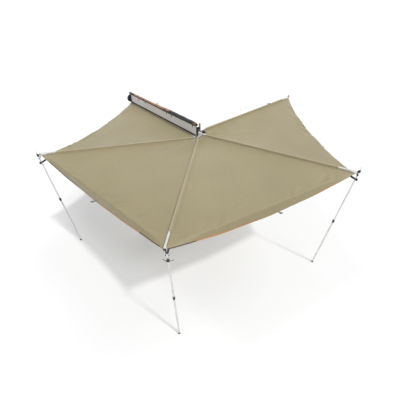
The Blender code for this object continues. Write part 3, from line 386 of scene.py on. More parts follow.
def metal(name, colour, rough, drawn=1.0):
    """Bare or satin metal: fine streaks from drawing or brushing, and handling marks."""
    shade = Shade(name)
    lines = shade.noise(240.0, 3.0, 0.6, shade.scaled(drawn, 1, 1))
    marks = shade.noise(9.0, 5.0, 0.6)
    tone = shade.math("ADD", shade.span(lines, rough - 0.05, rough + 0.05, 0.3, 0.7),
                      shade.span(marks, 0.07, -0.03, 0.35, 0.65))
    return shade.use(Base_Color=shade.ramp(marks, (0.34, times(colour, 0.88)), (0.62, colour)),
                     Roughness=tone, Normal=shade.bump(lines, 0.00004, 0.5), Metallic=1.0)


def coated(name, colour, rough, grain=900.0, depth=0.00005, spec=0.5):
    """Powder coat or moulded plastic: fine orange peel, rubbed places a little smoother."""
    shade = Shade(name)
    peel = shade.noise(grain, 2.0, 0.5)
    rubbed = shade.noise(14.0, 4.0, 0.6)
    base = shade.ramp(rubbed, (0.40, colour), (0.72, times(colour, 1.7, 0.006)))
    return shade.use(Base_Color=base, Normal=shade.bump(peel, depth, 0.7), Specular_IOR_Level=spec,
                     Roughness=shade.span(rubbed, rough + 0.06, rough - 0.10, 0.3, 0.7))


def ribbed_web(name, colour, pitch=0.0016):
    """Woven strap: ribs across it, a herringbone of threads, and ridges painted lighter, partly dust and
    partly a painted sheen.
    """
    shade = Shade(name)
    first = shade.wave(pitch, "DIAGONAL", 0.6)
    second = shade.wave(pitch, "DIAGONAL", 0.6, shade.scaled(-1, 1, 1))
    weave = shade.math("MULTIPLY", shade.math("ADD", first, second), 0.5)
    # The ridges' lighter colour is partly painted sheen and partly dust.
    base = shade.ramp(weave, (0.2, colour), (0.9, times(colour, 2.4, 0.01)))
    return shade.use(Base_Color=base, Roughness=shade.span(weave, 0.85, 0.65),
                     Normal=shade.bump(weave, 0.0003, 0.8), Sheen_Weight=0.08,
                     Sheen_Roughness=0.4, Specular_IOR_Level=0.25)


def leg_head(name, knob_low, knob_high):
    """Cast head: bright metal barrel and spike with a moulded black knob between them."""
    shade = Shade(name)
    height = shade.node("ShaderNodeSeparateXYZ", {0: shade.place}).outputs["Z"]
    knob = shade.math("MULTIPLY", shade.math("GREATER_THAN", height, knob_low),
                      shade.math("LESS_THAN", height, knob_high))
    cast = shade.noise(260.0, 4.0, 0.6)
    marks = shade.noise(30.0, 4.0, 0.6)
    bright = shade.ramp(marks, (0.3, (0.60, 0.60, 0.63)), (0.7, (0.80, 0.80, 0.83)))
    black = shade.ramp(marks, (0.35, (0.016, 0.016, 0.019)), (0.75, (0.036, 0.036, 0.040)))
    rough = shade.math("ADD", shade.span(cast, 0.24, 0.40, 0.3, 0.7),
                       shade.math("MULTIPLY", knob, 0.16))
    return shade.use(Base_Color=shade.blend(knob, bright, black), Roughness=rough,
                     Metallic=shade.math("SUBTRACT", 1.0, knob),
                     Normal=shade.bump(cast, 0.00006, 0.6))


CANVAS = (0.339, 0.286, 0.161)
# The hem flap's mark, and the darker tint of the painted shade on it
HEM_SHADE_MARK, HEM_SHADE_TINT = "hem_flap_shade", (0.53, 0.50, 0.38)
materials = {
    "canopy_cloth": woven("canopy canvas", CANVAS, 0.0011, 0.08, 0.05, sheen=0.65, hem=0.26),
    # The sleeves' canvas is the canopy's canvas painted lighter, standing for the light on the raised
    # sleeves.
    "sleeve_cloth": woven("sleeve canvas painted lighter", (0.42, 0.36, 0.225), 0.0011, 0.08, 0.06),
    "lining_cloth": woven("lining cloth", (0.90, 0.87, 0.89), 0.0009, 0.05, 0.03, 0.7),
    "bag_cloth": woven("bag cloth", (0.035, 0.036, 0.042), 0.0016, 0.30, 0.20, 0.75, 0.5,
                       0.0003),
    "webbing": ribbed_web("webbing", (0.010, 0.010, 0.014)),
    "rope": ribbed_web("braided cord", (0.42, 0.41, 0.40), 0.0022),
    "aluminium": metal("drawn aluminium", (0.72, 0.715, 0.70), 0.30, 0.05),
    "rail_aluminium": metal("rail aluminium", (0.72, 0.72, 0.74), 0.38, 0.02),
    "steel": metal("zinc plated steel", (0.34, 0.345, 0.36), 0.32),
    "black_coat": coated("black powder coat", (0.016, 0.016, 0.018), 0.42),
    "black_plastic": coated("moulded black plastic", (0.020, 0.020, 0.023), 0.48, 600.0),
    "rubber": coated("black rubber", (0.022, 0.022, 0.022), 0.72, 400.0, 0.0001, 0.3),
    "thread": ribbed_web("canvas thread", (0.30, 0.255, 0.155), 0.0009),
    "dark_thread": ribbed_web("dark thread", (0.05, 0.05, 0.055), 0.0009),
    "pale_webbing": ribbed_web("pale webbing", (0.10, 0.095, 0.10)),
    "dark_steel": metal("dark plated steel", (0.045, 0.045, 0.05), 0.40),
    "bag_inner": woven("coated inside of the flap", (0.45, 0.205, 0.11), 0.0012, 0.12, 0.25,
                       0.55, 0.3, 0.0002),
    # Painted shade: the flap's inner colour darkened for the roll's mouth
    "bag_mouth_shade": woven("shaded inside of the flap", (0.17, 0.070, 0.036), 0.0012, 0.12, 0.45,
                       0.6, 0.3, 0.0002),
    "bag_dark": woven("dark patch", (0.012, 0.012, 0.016), 0.0016, 0.3, 0.2, 0.8, 0.2, 0.0003),
    "binding_tan": woven("hem binding", (0.34, 0.28, 0.16), 0.0008, 0.15, 0.08),
    "binding_dark": woven("hem binding, dark run", (0.085, 0.032, 0.020), 0.0008, 0.2, 0.3),
    "binding_orange": woven("hem binding, orange run", (0.47, 0.20, 0.055), 0.0008, 0.2, 0.25),
}
slot_of = {part["node"]: part["material_slot"] for part in frame["record"]["subparts"]}
for name, node in frame["nodes"].items():
    node.data.materials.clear()
    node.data.materials.append(materials[slot_of[name]])

KNOB_LOW, KNOB_HIGH = 0.035, 0.0735
for number, name in enumerate(ARM_NAMES):
    head = frame["nodes"][f"leg_{name}_head"]
    hinge = leg_matrix(number).translation.z
    head.data.materials[0] = leg_head(f"leg head {name}", hinge + KNOB_LOW, hinge + KNOB_HIGH)

# Canopy panels

FRONT_EDGE_OFFSET = PIVOT.y - LINING_FACE
CLOTH_COLUMNS = 180
CLOTH_ROWS = 84
FLAP_ROWS = 12
HELD_EDGE = 0.05
GATHER_DEPTH = 0.0060
GATHER_REACH = 0.55
BROAD_DEPTH = 0.0060
PUCKER_DEPTH = 0.104
PUCKER_SHARES = (0.45, 1.0, 0.8, 0.5)
PUCKER_START = 0.86
RAIL_PLEAT_DEPTH = 0.0030
HUB_PATCH_INNER = 0.046
HUB_PATCH_LAP = 0.020


class Panel:
    """One wedge of cloth between two lines from the kingpin, on the CAD panel's surface."""

    def __init__(self, number):
        self.number = number
        self.second = number - 1
        self.angle2 = arm_angle(self.second)
        self.reach2 = leg_radius(self.second) - PANEL_CORNER_GAP
        self.offset2 = -PANEL_EDGE_OFFSET
        if number == 1:
            self.first = None
            self.angle1 = 0.0
            self.reach1 = FRONT_PANEL_REACH
            self.offset1 = FRONT_EDGE_OFFSET
        else:
            self.first = number - 2
            self.angle1 = arm_angle(self.first)
            self.reach1 = leg_radius(self.first) - PANEL_CORNER_GAP
            self.offset1 = PANEL_EDGE_OFFSET
        middle = (self.corner(0) + self.corner(1)) / 2
        self.fold = 1 - HEM_RUN / (middle.length - PANEL_INNER_RADIUS)

    def corner(self, side):
        angle = self.angle2 if side else self.angle1
        reach = self.reach2 if side else self.reach1
        offset = self.offset2 if side else self.offset1
        return heading(angle) * reach + aside(angle) * offset

    def angle(self, across):
        return self.angle1 + (self.angle2 - self.angle1) * across

    def plan(self, across, out):
        angle = self.angle(across)
        offset = self.offset1 * (1 - across) + self.offset2 * across
        inner = heading(angle) * PANEL_INNER_RADIUS + aside(angle) * offset
        chord = self.corner(1) - self.corner(0)
        inward = Vector((chord.y, -chord.x, 0)).normalized()
        if inward.dot(self.corner(0)) > 0:
            inward = -inward
        bow = PANEL_EDGE_BOWS[self.number - 1] * 4 * across * (1 - across)
        bow *= 1 + PANEL_BOW_LEANS[self.number - 1] * (2 * across - 1)
        outer = self.corner(0) + chord * across + inward * bow
        return inner.lerp(outer, out)

    def top(self, across, out):
        place = self.plan(across, out)
        distance = place.length
        height1 = under_arm(0, 0.0) if self.first is None else under_arm(self.first, distance)
        height2 = under_arm(self.second, distance)
        blend = smoothstep(across)
        hump = 4 * across * (1 - across)
        hang = max(0.0, (out - self.fold) / (1 - self.fold))
        sag = PANEL_SAG * math.sin(math.pi * out * SAG_SHIFT)
        wave = math.sin(math.tau * (HEM_WAVES * across + 0.12 * math.sin(math.tau * across)))
        droop = HEM_DROOP * hang * hang * (2 - hang)
        ripple = HEM_RIPPLE * wave * hump ** 0.5 * smoothstep(1 - (1 - out) / RIPPLE_REACH)
        height = height1 * (1 - blend) + height2 * blend - PANEL_SEAT
        height -= hump * (sag + droop) + ripple
        return Vector((PIVOT.x + place.x, PIVOT.y + place.y, height))

    def surface(self, across, out):
        """The CAD surface with the cloth's small wrinkles, which die out at its held edges."""
        place = self.top(across, out)
        side = min(across, 1 - across)
        held = smoothstep(side / HELD_EDGE)
        reach = (place - PIVOT).to_2d().length
        gathers = pleat(self.angle(across) * 0.55, self.number * 4.0, reach * 0.8)
        near_hub = math.exp(-reach / GATHER_REACH)
        near_hem = smoothstep((out - PUCKER_START) / 0.09)
        near_hem *= 1 - 0.9 * smoothstep((out - self.fold + 0.012) / (1.012 - self.fold))
        slant = across * 15 + out * 26 + 3 * pleat(across * 4, out * 3, self.number)
        puckers = pleat(slant, across * 4 + self.number * 9) ** 2
        puckers *= PUCKER_SHARES[self.number - 1] * smoothstep(side / 0.22)
        broad = pleat(place.x * 2.3, place.y * 2.3, self.number)
        wrinkle = GATHER_DEPTH * gathers * near_hub + PUCKER_DEPTH * puckers * near_hem
        wrinkle += BROAD_DEPTH * broad
        if self.number == 1:
            pleats = math.exp(-across / 0.06) * pleat(place.x * 26, across * 5)
            wrinkle += RAIL_PLEAT_DEPTH * pleats
            held = max(held, 0.35 * smoothstep(across / 0.004))
        place.z -= wrinkle * held
        return place


def link(mesh, slot, smooth=True):
    """A new object of the mesh's name, with one finish."""
    obj = bpy.data.objects.new(mesh.name, mesh)
    bpy.context.scene.collection.objects.link(obj)
    mesh.materials.append(materials[slot])
    if smooth:
        mesh.polygons.foreach_set("use_smooth", [True] * len(mesh.polygons))
    return obj


def grid_mesh(name, rows):
    """A sheet of quads through rows of points."""
    mesh = bpy.data.meshes.new(name)
    wide = len(rows[0])
    points = [point for row in rows for point in row]
    faces = [(k * wide + j, k * wide + j + 1, (k + 1) * wide + j + 1, (k + 1) * wide + j)
             for k in range(len(rows) - 1) for j in range(wide - 1)]
    mesh.from_pydata(points, [], faces)
    mesh.update()
    return mesh


def grid_rows(down, wide, place):
    """Rows of places, each asked for with two shares from 0 to 1."""
    return [[place(first, second) for second in shares(wide)] for first in shares(down)]


def face_up(mesh):
    if mesh.polygons[len(mesh.polygons) // 2].normal.z < 0:
        mesh.flip_normals()


def thicken(obj, thickness, offset=-1.0):
    """Gives a sheet its thickness in the mesh itself."""
    solid = obj.modifiers.new("thickness", "SOLIDIFY")
    solid.thickness = thickness
    solid.offset = offset
    graph = bpy.context.evaluated_depsgraph_get()
    mesh = bpy.data.meshes.new_from_object(obj.evaluated_get(graph))
    obj.modifiers.clear()
    obj.data = mesh


def swing_weights(obj, panel):
    """The cloth turns with the arm on each side, in proportion to the angle between."""
    attribute = obj.data.attributes["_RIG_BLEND"]
    for vert, item in zip(obj.data.vertices, attribute.data):
        place = vert.co - PIVOT
        angle = math.degrees(math.atan2(-place.y, -place.x)) % 360
        if angle > 330:  # just behind the rail's own line
            angle = 0.0
        share = (angle - panel.angle1) / (panel.angle2 - panel.angle1)
        item.value = min(max(share, 0.0), 1.0)


def follow_cloth(obj, panel):
    """Bends a piece of the canopy between the bodies at the panel's two sides."""
    near = "rail" if panel.first is None else arm_body(panel.first)
    far = arm_body(panel.second)
    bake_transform(obj, near, far, PIVOT + panel.corner(0), PIVOT + panel.corner(1))
    swing_weights(obj, panel)


def build_hub_patch(panel):
    """A doubled patch sewn under the panel's inner end, which fills in towards the kingpin; on the fourth
    panel it is black, a dark sheet of painted shade.
    """
    outer = PANEL_INNER_RADIUS + HUB_PATCH_LAP

    def place(out, side):
        across = 0.05 + 0.90 * side
        edge = panel.top(across, 0.0)
        run = Vector((edge.x - PIVOT.x, edge.y - PIVOT.y, 0)).normalized()
        dip = 0.0014 + 0.0012 * pleat(across * 7, out * 4.8, panel.number)
        reach = HUB_PATCH_INNER + (outer - HUB_PATCH_INNER) * out
        return Vector((PIVOT.x, PIVOT.y, edge.z - CLOTH_THICKNESS - dip)) + run * reach

    mesh = grid_mesh(f"hub_patch_{panel.number}", grid_rows(12, 32, place))
    face_up(mesh)
    # Panel 4's patch is black webbing: painted shade for the dark gap between arms C and D at the kingpin.
    patch = link(mesh, "webbing" if panel.number == 4 else "canopy_cloth")
    thicken(patch, CLOTH_THICKNESS)
    follow_cloth(patch, panel)
    return patch


def shade_hem_flap(mesh, panel, outs):
    """Marks the doubled cloth between the hem's ridge and its edge, which gets painted shade."""
    flap = mesh.attributes.new(HEM_SHADE_MARK, "FLOAT", "POINT")
    for number, item in enumerate(flap.data):
        row, column = divmod(number, CLOTH_COLUMNS + 1)
        across = column / CLOTH_COLUMNS
        depth = (outs[row] - panel.fold) / (1 - panel.fold)
        item.value = smoothstep(depth / 0.3) * smoothstep(min(across, 1 - across) / 0.08)


def build_canopy():
    panels = [Panel(number) for number in (1, 2, 3, 4)]
    for panel in panels:
        outs = [panel.fold * share for share in shares(CLOTH_ROWS)]
        outs += [panel.fold + (1 - panel.fold) * share for share in shares(FLAP_ROWS)[1:]]
        rows = [[panel.surface(across, out) for across in shares(CLOTH_COLUMNS)] for out in outs]
        mesh = grid_mesh(f"canopy_cloth_{panel.number}", rows)
        cloth = link(mesh, "canopy_cloth")
        face_up(mesh)
        shade_hem_flap(mesh, panel, outs)
        thicken(cloth, CLOTH_THICKNESS)
        follow_cloth(cloth, panel)
        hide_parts(f"canopy_panel_{panel.number}")
        width = (panel.corner(1) - panel.corner(0)).length + 0.02
        length = max(panel.reach1, panel.reach2)
        trim = [build_binding(panel), build_hem_seam(panel)]
        if panel.number > 1:
            trim.append(build_hub_patch(panel))
        arm_body(panel.second)
    return panels


# Shapes for cloth, webbing and rope

RIBBON_EDGE = ((-1, -0.4), (-0.96, -1), (0, -1), (0.96, -1), (1, -0.4), (1, 0.4), (0.96, 1),
               (0, 1), (-0.96, 1), (-1, 0.4))
STITCH_LENGTH = 0.0042
STITCH_PITCH = 0.0066
STITCH_HEIGHT = 0.0006
STITCH_SIDE = 0.0007
STITCH_POINTS = ((-1, 0, 0), (-0.5, 1, 0), (0.5, 1, 0), (1, 0, 0), (0.5, -1, 0), (-0.5, -1, 0),
                 (-0.4, 0, 1), (0.4, 0, 1))
STITCH_FACES = ((0, 1, 6), (1, 2, 7, 6), (2, 3, 7), (3, 4, 7), (4, 5, 6, 7), (5, 0, 6),
                (0, 5, 4, 3, 2, 1))


def loft(name, rings, caps=True):
    """A skin through rings of points, with its faces turned outward."""
    mesh = bpy.data.meshes.new(name)
    wide = len(rings[0])
    points = [point for ring in rings for point in ring]
    faces = []
    for k in range(len(rings) - 1):
        for j in range(wide):
            first, second = k * wide + j, k * wide + (j + 1) % wide
            faces.append((first, second, second + wide, first + wide))
    if caps:
        faces.append(tuple(reversed(range(wide))))
        faces.append(tuple(range(len(points) - wide, len(points))))
    mesh.from_pydata(points, [], faces)
    tidy = bmesh.new()
    tidy.from_mesh(mesh)
    bmesh.ops.remove_doubles(tidy, verts=tidy.verts, dist=1e-6)
    bmesh.ops.recalc_face_normals(tidy, faces=tidy.faces)
    tidy.to_mesh(mesh)
    tidy.free()
    return mesh


def along(path, k, closed=False):
    before = path[k - 1] if closed or k else path[0]
    after = path[(k + 1) % len(path)] if closed else path[min(k + 1, len(path) - 1)]
    return (after - before).normalized()


def tube(name, path, radius, sides, closed=False):
    """A round tube along a path."""
    rings = []
    turns = [math.tau * j / sides for j in range(sides)]
    normal = along(path, 0, closed).orthogonal().normalized()
    for k, point in enumerate(path):
        run = along(path, k, closed)
        normal = (normal - run * normal.dot(run)).normalized()
        side = run.cross(normal)
        rings.append([point + (normal * math.cos(turn) + side * math.sin(turn)) * radius
                      for turn in turns])
    if closed:
        rings.append(rings[0])
    return loft(name, rings, caps=not closed)


def ribbon(name, path, across, width, thickness):
    """A flat strap along a path, with its width along one direction."""
    rings = []
    for k, point in enumerate(path):
        up = along(path, k).cross(across).normalized()
        rings.append([point + across * (width / 2 * u) + up * (thickness / 2 * v)
                      for u, v in RIBBON_EDGE])
    return loft(name, rings)


def arc(radius, start, end, steps):
    """Points round a circle in the plane of two numbers, from start to end in degrees."""
    turns = [math.radians(start + (end - start) * share) for share in shares(steps)]
    return [(radius * math.cos(turn), radius * math.sin(turn)) for turn in turns]


def joined(name, meshes):
    """One mesh of several."""
    whole = bmesh.new()
    for mesh in meshes:
        whole.from_mesh(mesh)
    mesh = bpy.data.meshes.new(name)
    whole.to_mesh(mesh)
    whole.free()
    return mesh


def stitches(name, lines):
    """Rows of raised stitches; each line is places on a surface with the surface's normals."""
    points = []
    faces = []
    for places, normals in lines:
        carried = 0.0
        for place, after, up in zip(places, places[1:], normals):
            step = after - place
            run = step.normalized()
            side = run.cross(up).normalized() * STITCH_SIDE
            reach = run * STITCH_LENGTH / 2
            while carried < step.length:
                middle = place + step * (carried / step.length)
                first = len(points)
                points += [middle + reach * u + side * v + up * (STITCH_HEIGHT * w)
                           for u, v, w in STITCH_POINTS]
                faces += [tuple(first + n for n in face) for face in STITCH_FACES]
                carried += STITCH_PITCH
            carried -= step.length
    mesh = bpy.data.meshes.new(name)
    mesh.from_pydata(points, [], faces)
    mesh.update()
    return mesh


def straight_seam(start, end, count, normal):
    """A line for stitches along a flat surface."""
    return [start.lerp(end, share) for share in shares(count)], [normal] * (count + 1)


def pleat(*place):
    """Smooth noise from -1 to 1 at a place given as up to three numbers."""
    return noise.noise(Vector((list(place) + [0.0, 0.0])[:3]))


def riding(mesh, slot, body="rail", smooth=True):
    """A new object that moves with one body."""
    obj = link(mesh, slot, smooth)
    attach(obj, body)
    return obj


# Hem bindings and seams of the canopy

BINDING_WIDTH = 0.011
BINDING_EDGE = ((-1.0, 0.0005), (-0.92, 0.0011), (-0.1, 0.0012), (0.13, 0.0002), (0.13, -0.0014),
                (-0.1, -0.0024), (-0.92, -0.0023), (-1.0, -0.0017))
BINDINGS = ("binding_tan", "binding_dark", "binding_orange")
TAN, DARK, ORANGE = range(3)
BINDING_RUNS = {
    1: ((1.0, TAN),),
    2: ((0.08, TAN), (0.34, DARK), (0.52, TAN), (0.84, ORANGE), (0.97, DARK), (1.0, TAN)),
    3: ((0.13, DARK), (0.42, ORANGE), (0.75, TAN), (0.91, ORANGE), (1.0, TAN)),
    4: ((1.0, TAN),),
}
SEAM_STEPS = 150


def hem_frame(panel, across, out=1.0):
    """A place on the cloth's top, the direction out to the hem, and the cloth's normal."""
    place = panel.surface(across, out)
    run = (place - panel.surface(across, out - 0.006)).normalized()
    low, high = max(across - 0.004, 0.0), min(across + 0.004, 1.0)
    level = panel.surface(high, out) - panel.surface(low, out)
    normal = level.cross(run).normalized()
    return place, run, -normal if normal.z < 0 else normal


def build_binding(panel):
    rings = []
    for across in shares(CLOTH_COLUMNS):
        place, run, normal = hem_frame(panel, across)
        rings.append([place + run * (BINDING_WIDTH * u) + normal * v for u, v in BINDING_EDGE])
    mesh = loft(f"hem_binding_{panel.number}", rings)
    binding = link(mesh, BINDINGS[TAN])
    for slot in BINDINGS[1:]:
        mesh.materials.append(materials[slot])
    runs = BINDING_RUNS[panel.number]
    chord = panel.corner(1) - panel.corner(0)
    for face in mesh.polygons:
        place = face.center - PIVOT
        across = (place - panel.corner(0)).to_2d().dot(chord.to_2d()) / chord.length_squared
        across += 0.006 * pleat(across * 60, panel.number)
        face.material_index = next((tone for end, tone in runs if across <= end), runs[-1][1])
    follow_cloth(binding, panel)
    return binding


def build_hem_seam(panel):
    lines = []
    for out in (panel.fold + 0.004, 1 - 0.011):
        frames = [hem_frame(panel, 0.01 + 0.98 * share, out) for share in shares(SEAM_STEPS)]
        lines.append(([place for place, _, _ in frames], [normal for _, _, normal in frames]))
    seam = link(stitches(f"hem_seam_{panel.number}", lines), "thread", smooth=False)
    follow_cloth(seam, panel)
    return seam


# Sleeves round the arms

SLEEVE_FLANGE = 0.011
SLEEVE_CORNER = 0.0045
SLEEVE_STEP = 0.009
SLEEVE_SEAM_OFFSET = 0.0055
SEAM_INSET = 0.006
LIP_WIDTH = 0.014
LIP_HEIGHT = 0.0009


def build_sleeve(index):
    name, body = ARM_NAMES[index], arm_body(index)
    matrix = arm_matrix(index)
    start, end = SLEEVE_START, leg_radius(index) - SLEEVE_END_GAP
    side = ARM_WIDTH / 2 + SLEEVE_EASE + SLEEVE_THICKNESS / 2
    top = ARM_HEIGHT / 2 + SLEEVE_EASE + SLEEVE_THICKNESS / 2
    low = -ARM_HEIGHT / 2 - PANEL_SEAT + SLEEVE_THICKNESS / 2 + GAP
    half = [(side + SLEEVE_FLANGE, low), (side + 0.007, low), (side + 0.0022, low + 0.0002),
            (side + 0.0006, low + 0.0014)]
    half += [(side, low + 0.004 + (top - SLEEVE_CORNER - low - 0.004) * share)
             for share in shares(4)]
    half += [(side - SLEEVE_CORNER + u, top - SLEEVE_CORNER + v)
             for u, v in arc(SLEEVE_CORNER, 18, 90, 4)]
    half += [(side * 0.35, top)]
    profile = half + [(0.0, top)] + [(-y, z) for y, z in reversed(half)]

    def place(x, y, z):
        lift = max(0.0, min(1.0, (z - low) / 0.008))
        fold = max(0.0, pleat(x * 11 + index * 7, y * 70, z * 70))
        crease = max(0.0, pleat(x * 38 + y * 300, z * 60 + index * 5, 3.0)) ** 2
        slack = 0.0022 * fold + 0.0030 * crease
        if min(x - start, end - x) < LIP_WIDTH:
            slack += LIP_HEIGHT
        spot = Vector((x, y, z)) + Vector((0, y, z * 0.8)).normalized() * (slack * lift)
        if lift == 0.0:
            spot.y += math.copysign(0.0012 * pleat(x * 24, index * 3.0), y)
        return matrix @ spot

    rows = [[place(start + (end - start) * share, y, z) for y, z in profile]
            for share in shares(round((end - start) / SLEEVE_STEP))]
    mesh = grid_mesh(f"sleeve_cloth_{name}", rows)
    face_up(mesh)
    sleeve = link(mesh, "sleeve_cloth")
    thicken(sleeve, SLEEVE_THICKNESS, 0.0)
    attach(sleeve, body)
    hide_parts(f"sleeve_{name}")
    width = sum(math.dist(first, second) for first, second in zip(profile, profile[1:]))
    seams = []
    for y in (side + SLEEVE_SEAM_OFFSET, -side - SLEEVE_SEAM_OFFSET):
        ends = [matrix @ Vector((x, y, low + SLEEVE_THICKNESS / 2))
                for x in (start + SEAM_INSET, end - SEAM_INSET)]
        seams.append(straight_seam(*ends, 200, Vector((0, 0, 1))))
    seam = riding(stitches(f"sleeve_seam_{name}", seams), "thread", body, smooth=False)


# Travel bag: rolled flap, ties, lining, end wall and zip

FLAP_START, FLAP_END = -RAIL_END + 0.012, RAIL_END - 0.010
LINED_START, LINED_END = 0.10, 0.66
ROLL_STEPS = 340
ROLL_SIDES = 56
ROLL_LIP_ANGLE = 22
ROLL_END_LAYERS = ((0.94, 0.0015), (0.80, 0.0), (0.74, -0.005), (0.56, -0.001), (0.50, -0.006),
                   (0.30, -0.002), (0.24, -0.008), (0.05, -0.008))
TIE_DROP = 0.055
WALL_LEFT, WALL_RIGHT = -RAIL_END + 0.032, RAIL_END - LINING_MARGIN
WALL_LOW = -RAIL_TOP + LINING_MARGIN + 0.004
EDGE_BEAD_RADIUS = 0.0036
EDGE_STRIP_WIDTH = 0.018
EDGE_END_WIDTH = 0.026
EDGE_WEB_THICKNESS = 0.0022
END_WALL_DISH = ((0.0, 0.010), (0.25, 0.010), (0.42, 0.0085), (0.56, 0.006), (0.60, 0.0040),
                 (0.72, 0.003), (0.86, 0.0016), (0.94, 0.0005), (0.975, -0.0008), (1.0, 0.002),
                 (1.0, 0.008))
END_WALL_BACK = ((0.985, 0.014), (0.99, 0.022), (1.0, GUSSET_THICKNESS - 0.002),
                 (0.97, GUSSET_THICKNESS), (0.80, GUSSET_THICKNESS - 0.004),
                 (0.02, GUSSET_THICKNESS - 0.006))
ZIP_CENTRE, ZIP_LENGTH = 0.010, RAIL_LENGTH - 0.080
ZIP_STEPS = 260
ZIP_RIPPLE = 182.0
TOOTH_PITCH = 0.0042
TOOTH_NECK = 0.0015


def roll_radius(share):
    swell = smoothstep((share - 0.35) / 0.35)
    return ROLL_FRONT_RADIUS + (ROLL_REAR_RADIUS - ROLL_FRONT_RADIUS) * swell


def flap_share(x):
    return (x - FLAP_START) / (FLAP_END - FLAP_START)


def tie_x(share):
    return -RAIL_END + RAIL_LENGTH * share


def roll_ring(share):
    """The rolled flap's outline at one place: a spiral step, pinches at the ties, folds."""
    x = FLAP_START + (FLAP_END - FLAP_START) * share
    base = roll_radius(share)
    centre = Vector((x, -ROLL_SETBACK, RAIL_TOP + GAP + base))
    pinch = min(sum(math.exp(-((x - tie_x(place)) / 0.016) ** 2) for place in TIE_PLACES), 1.0)
    taper = 1 - 0.30 * (1 - smoothstep(min(share, 1 - share) / 0.022))
    lip = ROLL_LIP_ANGLE + 10 * pleat(x * 5, 2.0)
    ring = []
    for j in range(ROLL_SIDES):
        angle = 360 * j / ROLL_SIDES
        turn = math.radians(angle)
        level, height = math.cos(turn), math.sin(turn)
        behind = ((angle - lip) % 360) / 360
        crease = pleat(x * 30, level * 2.4, height * 2.4 + 9)
        size = base * taper - 0.0034 * min(behind / 0.5, 1.0) + 0.0012 - 0.0040 * pinch
        size += 0.0020 * (1 - pinch) * pleat(x * 9, level, height + 3)
        size += 0.0022 * pleat(x * 2.2 + 0.4 * math.sin(turn * 2), level * 3, height * 3)
        size += 0.0016 * max(0.0, crease) * (0.4 + pinch)
        ring.append(centre + Vector((0, -level, height)) * size)
    return ring, centre


def roll_end(share, side):
    """The rolled layers that show at one end, from the outline to the middle."""
    ring, centre = roll_ring(share)
    return [[centre + (point - centre) * size + Vector((side * inset, 0, 0)) for point in ring]
            for size, inset in ROLL_END_LAYERS]


def build_roll():
    rings = roll_end(0.0, -1)[::-1]
    rings += [roll_ring(share)[0] for share in shares(ROLL_STEPS)]
    mesh = loft("rolled_flap", rings + roll_end(1.0, 1))
    roll = riding(mesh, "bag_cloth")
    mesh.materials.append(materials["bag_inner"])
    mesh.materials.append(materials["bag_mouth_shade"])
    for face in mesh.polygons:
        place = face.center
        share = flap_share(place.x)
        height = place.z - (RAIL_TOP + GAP + roll_radius(share))
        angle = math.degrees(math.atan2(height, -(place.y + ROLL_SETBACK)))
        edge = ROLL_LIP_ANGLE + 14 * pleat(place.x * 5, 2.0)
        lined = LINED_START < share < LINED_END + 0.02 * pleat(angle * 0.1) and edge < angle < 175
        # The inside at the rear end gets a darker copy of the flap's inner colour: painted shade in the
        # roll's mouth.
        shaded_mouth = share > 0.974 + 0.008 * pleat(angle * 0.05) and -30 < angle < 130
        face.material_index = 1 if lined else 2 if shaded_mouth else 0
    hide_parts("bag_flap_roll")
    for number, share in enumerate(TIE_PLACES, 1):
        build_tie(number, tie_x(share))


def build_tie(number, x):
    """A webbing tie round the roll, with its end hanging over the lining."""
    radius = roll_radius(flap_share(x)) - 0.0008
    centre = Vector((x, -ROLL_SETBACK, RAIL_TOP + GAP + radius + 0.0008))
    path = []
    for k in range(27):
        turn = math.radians(170 - 225 * k / 26)
        size = radius + 0.0004 * math.sin(k * 1.7)
        path.append(centre + Vector((0, -math.cos(turn), math.sin(turn))) * size)
    last = path[-1]
    face = LINING_FACE - 0.0022
    for k in range(1, 9):
        lean = last.y + (face - last.y) * min(1.0, k / 2.5)
        sway = 0.003 * math.sin(number * 1.9 + k * 0.5) * k / 8
        path.append(Vector((x + sway, lean - 0.0016 * math.sin(k * 0.9),
                            last.z - TIE_DROP * k / 8)))
    riding(ribbon(f"bag_tie_{number}", path, Vector((1, 0, 0)), TIE_WIDTH, 0.0015), "webbing")


def build_lining():
    """The bag's back wall on the rail's face: cloth with a slight pucker at each tie."""
    long, high = WALL_RIGHT - WALL_LEFT, RAIL_TOP - WALL_LOW

    def place(up, across):
        x, z = WALL_LEFT + long * across, WALL_LOW + high * up
        ease = smoothstep(min(z - WALL_LOW, RAIL_TOP - z, x - WALL_LEFT, WALL_RIGHT - x) / 0.02)
        pucker = sum(math.exp(-((x - tie_x(share)) / 0.03) ** 2) for share in TIE_PLACES)
        wave = 0.5 + 0.5 * pleat(x * 6, z * 9)
        crease = max(0.0, pleat(x * 16 + z * 20, z * 6, 4.0)) ** 2
        out = ease * (0.0010 * wave + 0.0018 * crease + 0.0006 * pucker)
        return Vector((x, LINING_FACE - out, z))

    mesh = grid_mesh("bag_back_wall", grid_rows(24, 400, place))
    if mesh.polygons[0].normal.y > 0:
        mesh.flip_normals()
    lining = link(mesh, "lining_cloth")
    thicken(lining, LINING_THICKNESS)
    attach(lining, "rail")
    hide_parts("bag_lining")
    lines = [straight_seam(Vector((WALL_LEFT + SEAM_INSET, LINING_FACE - GAP, z)),
                           Vector((WALL_RIGHT - SEAM_INSET, LINING_FACE - GAP, z)), 200,
                           Vector((0, -1, 0)))
             for z in (WALL_LOW + SEAM_INSET, RAIL_TOP - SEAM_INSET)]
    seam = riding(stitches("bag_wall_seam", lines), "dark_thread", smooth=False)


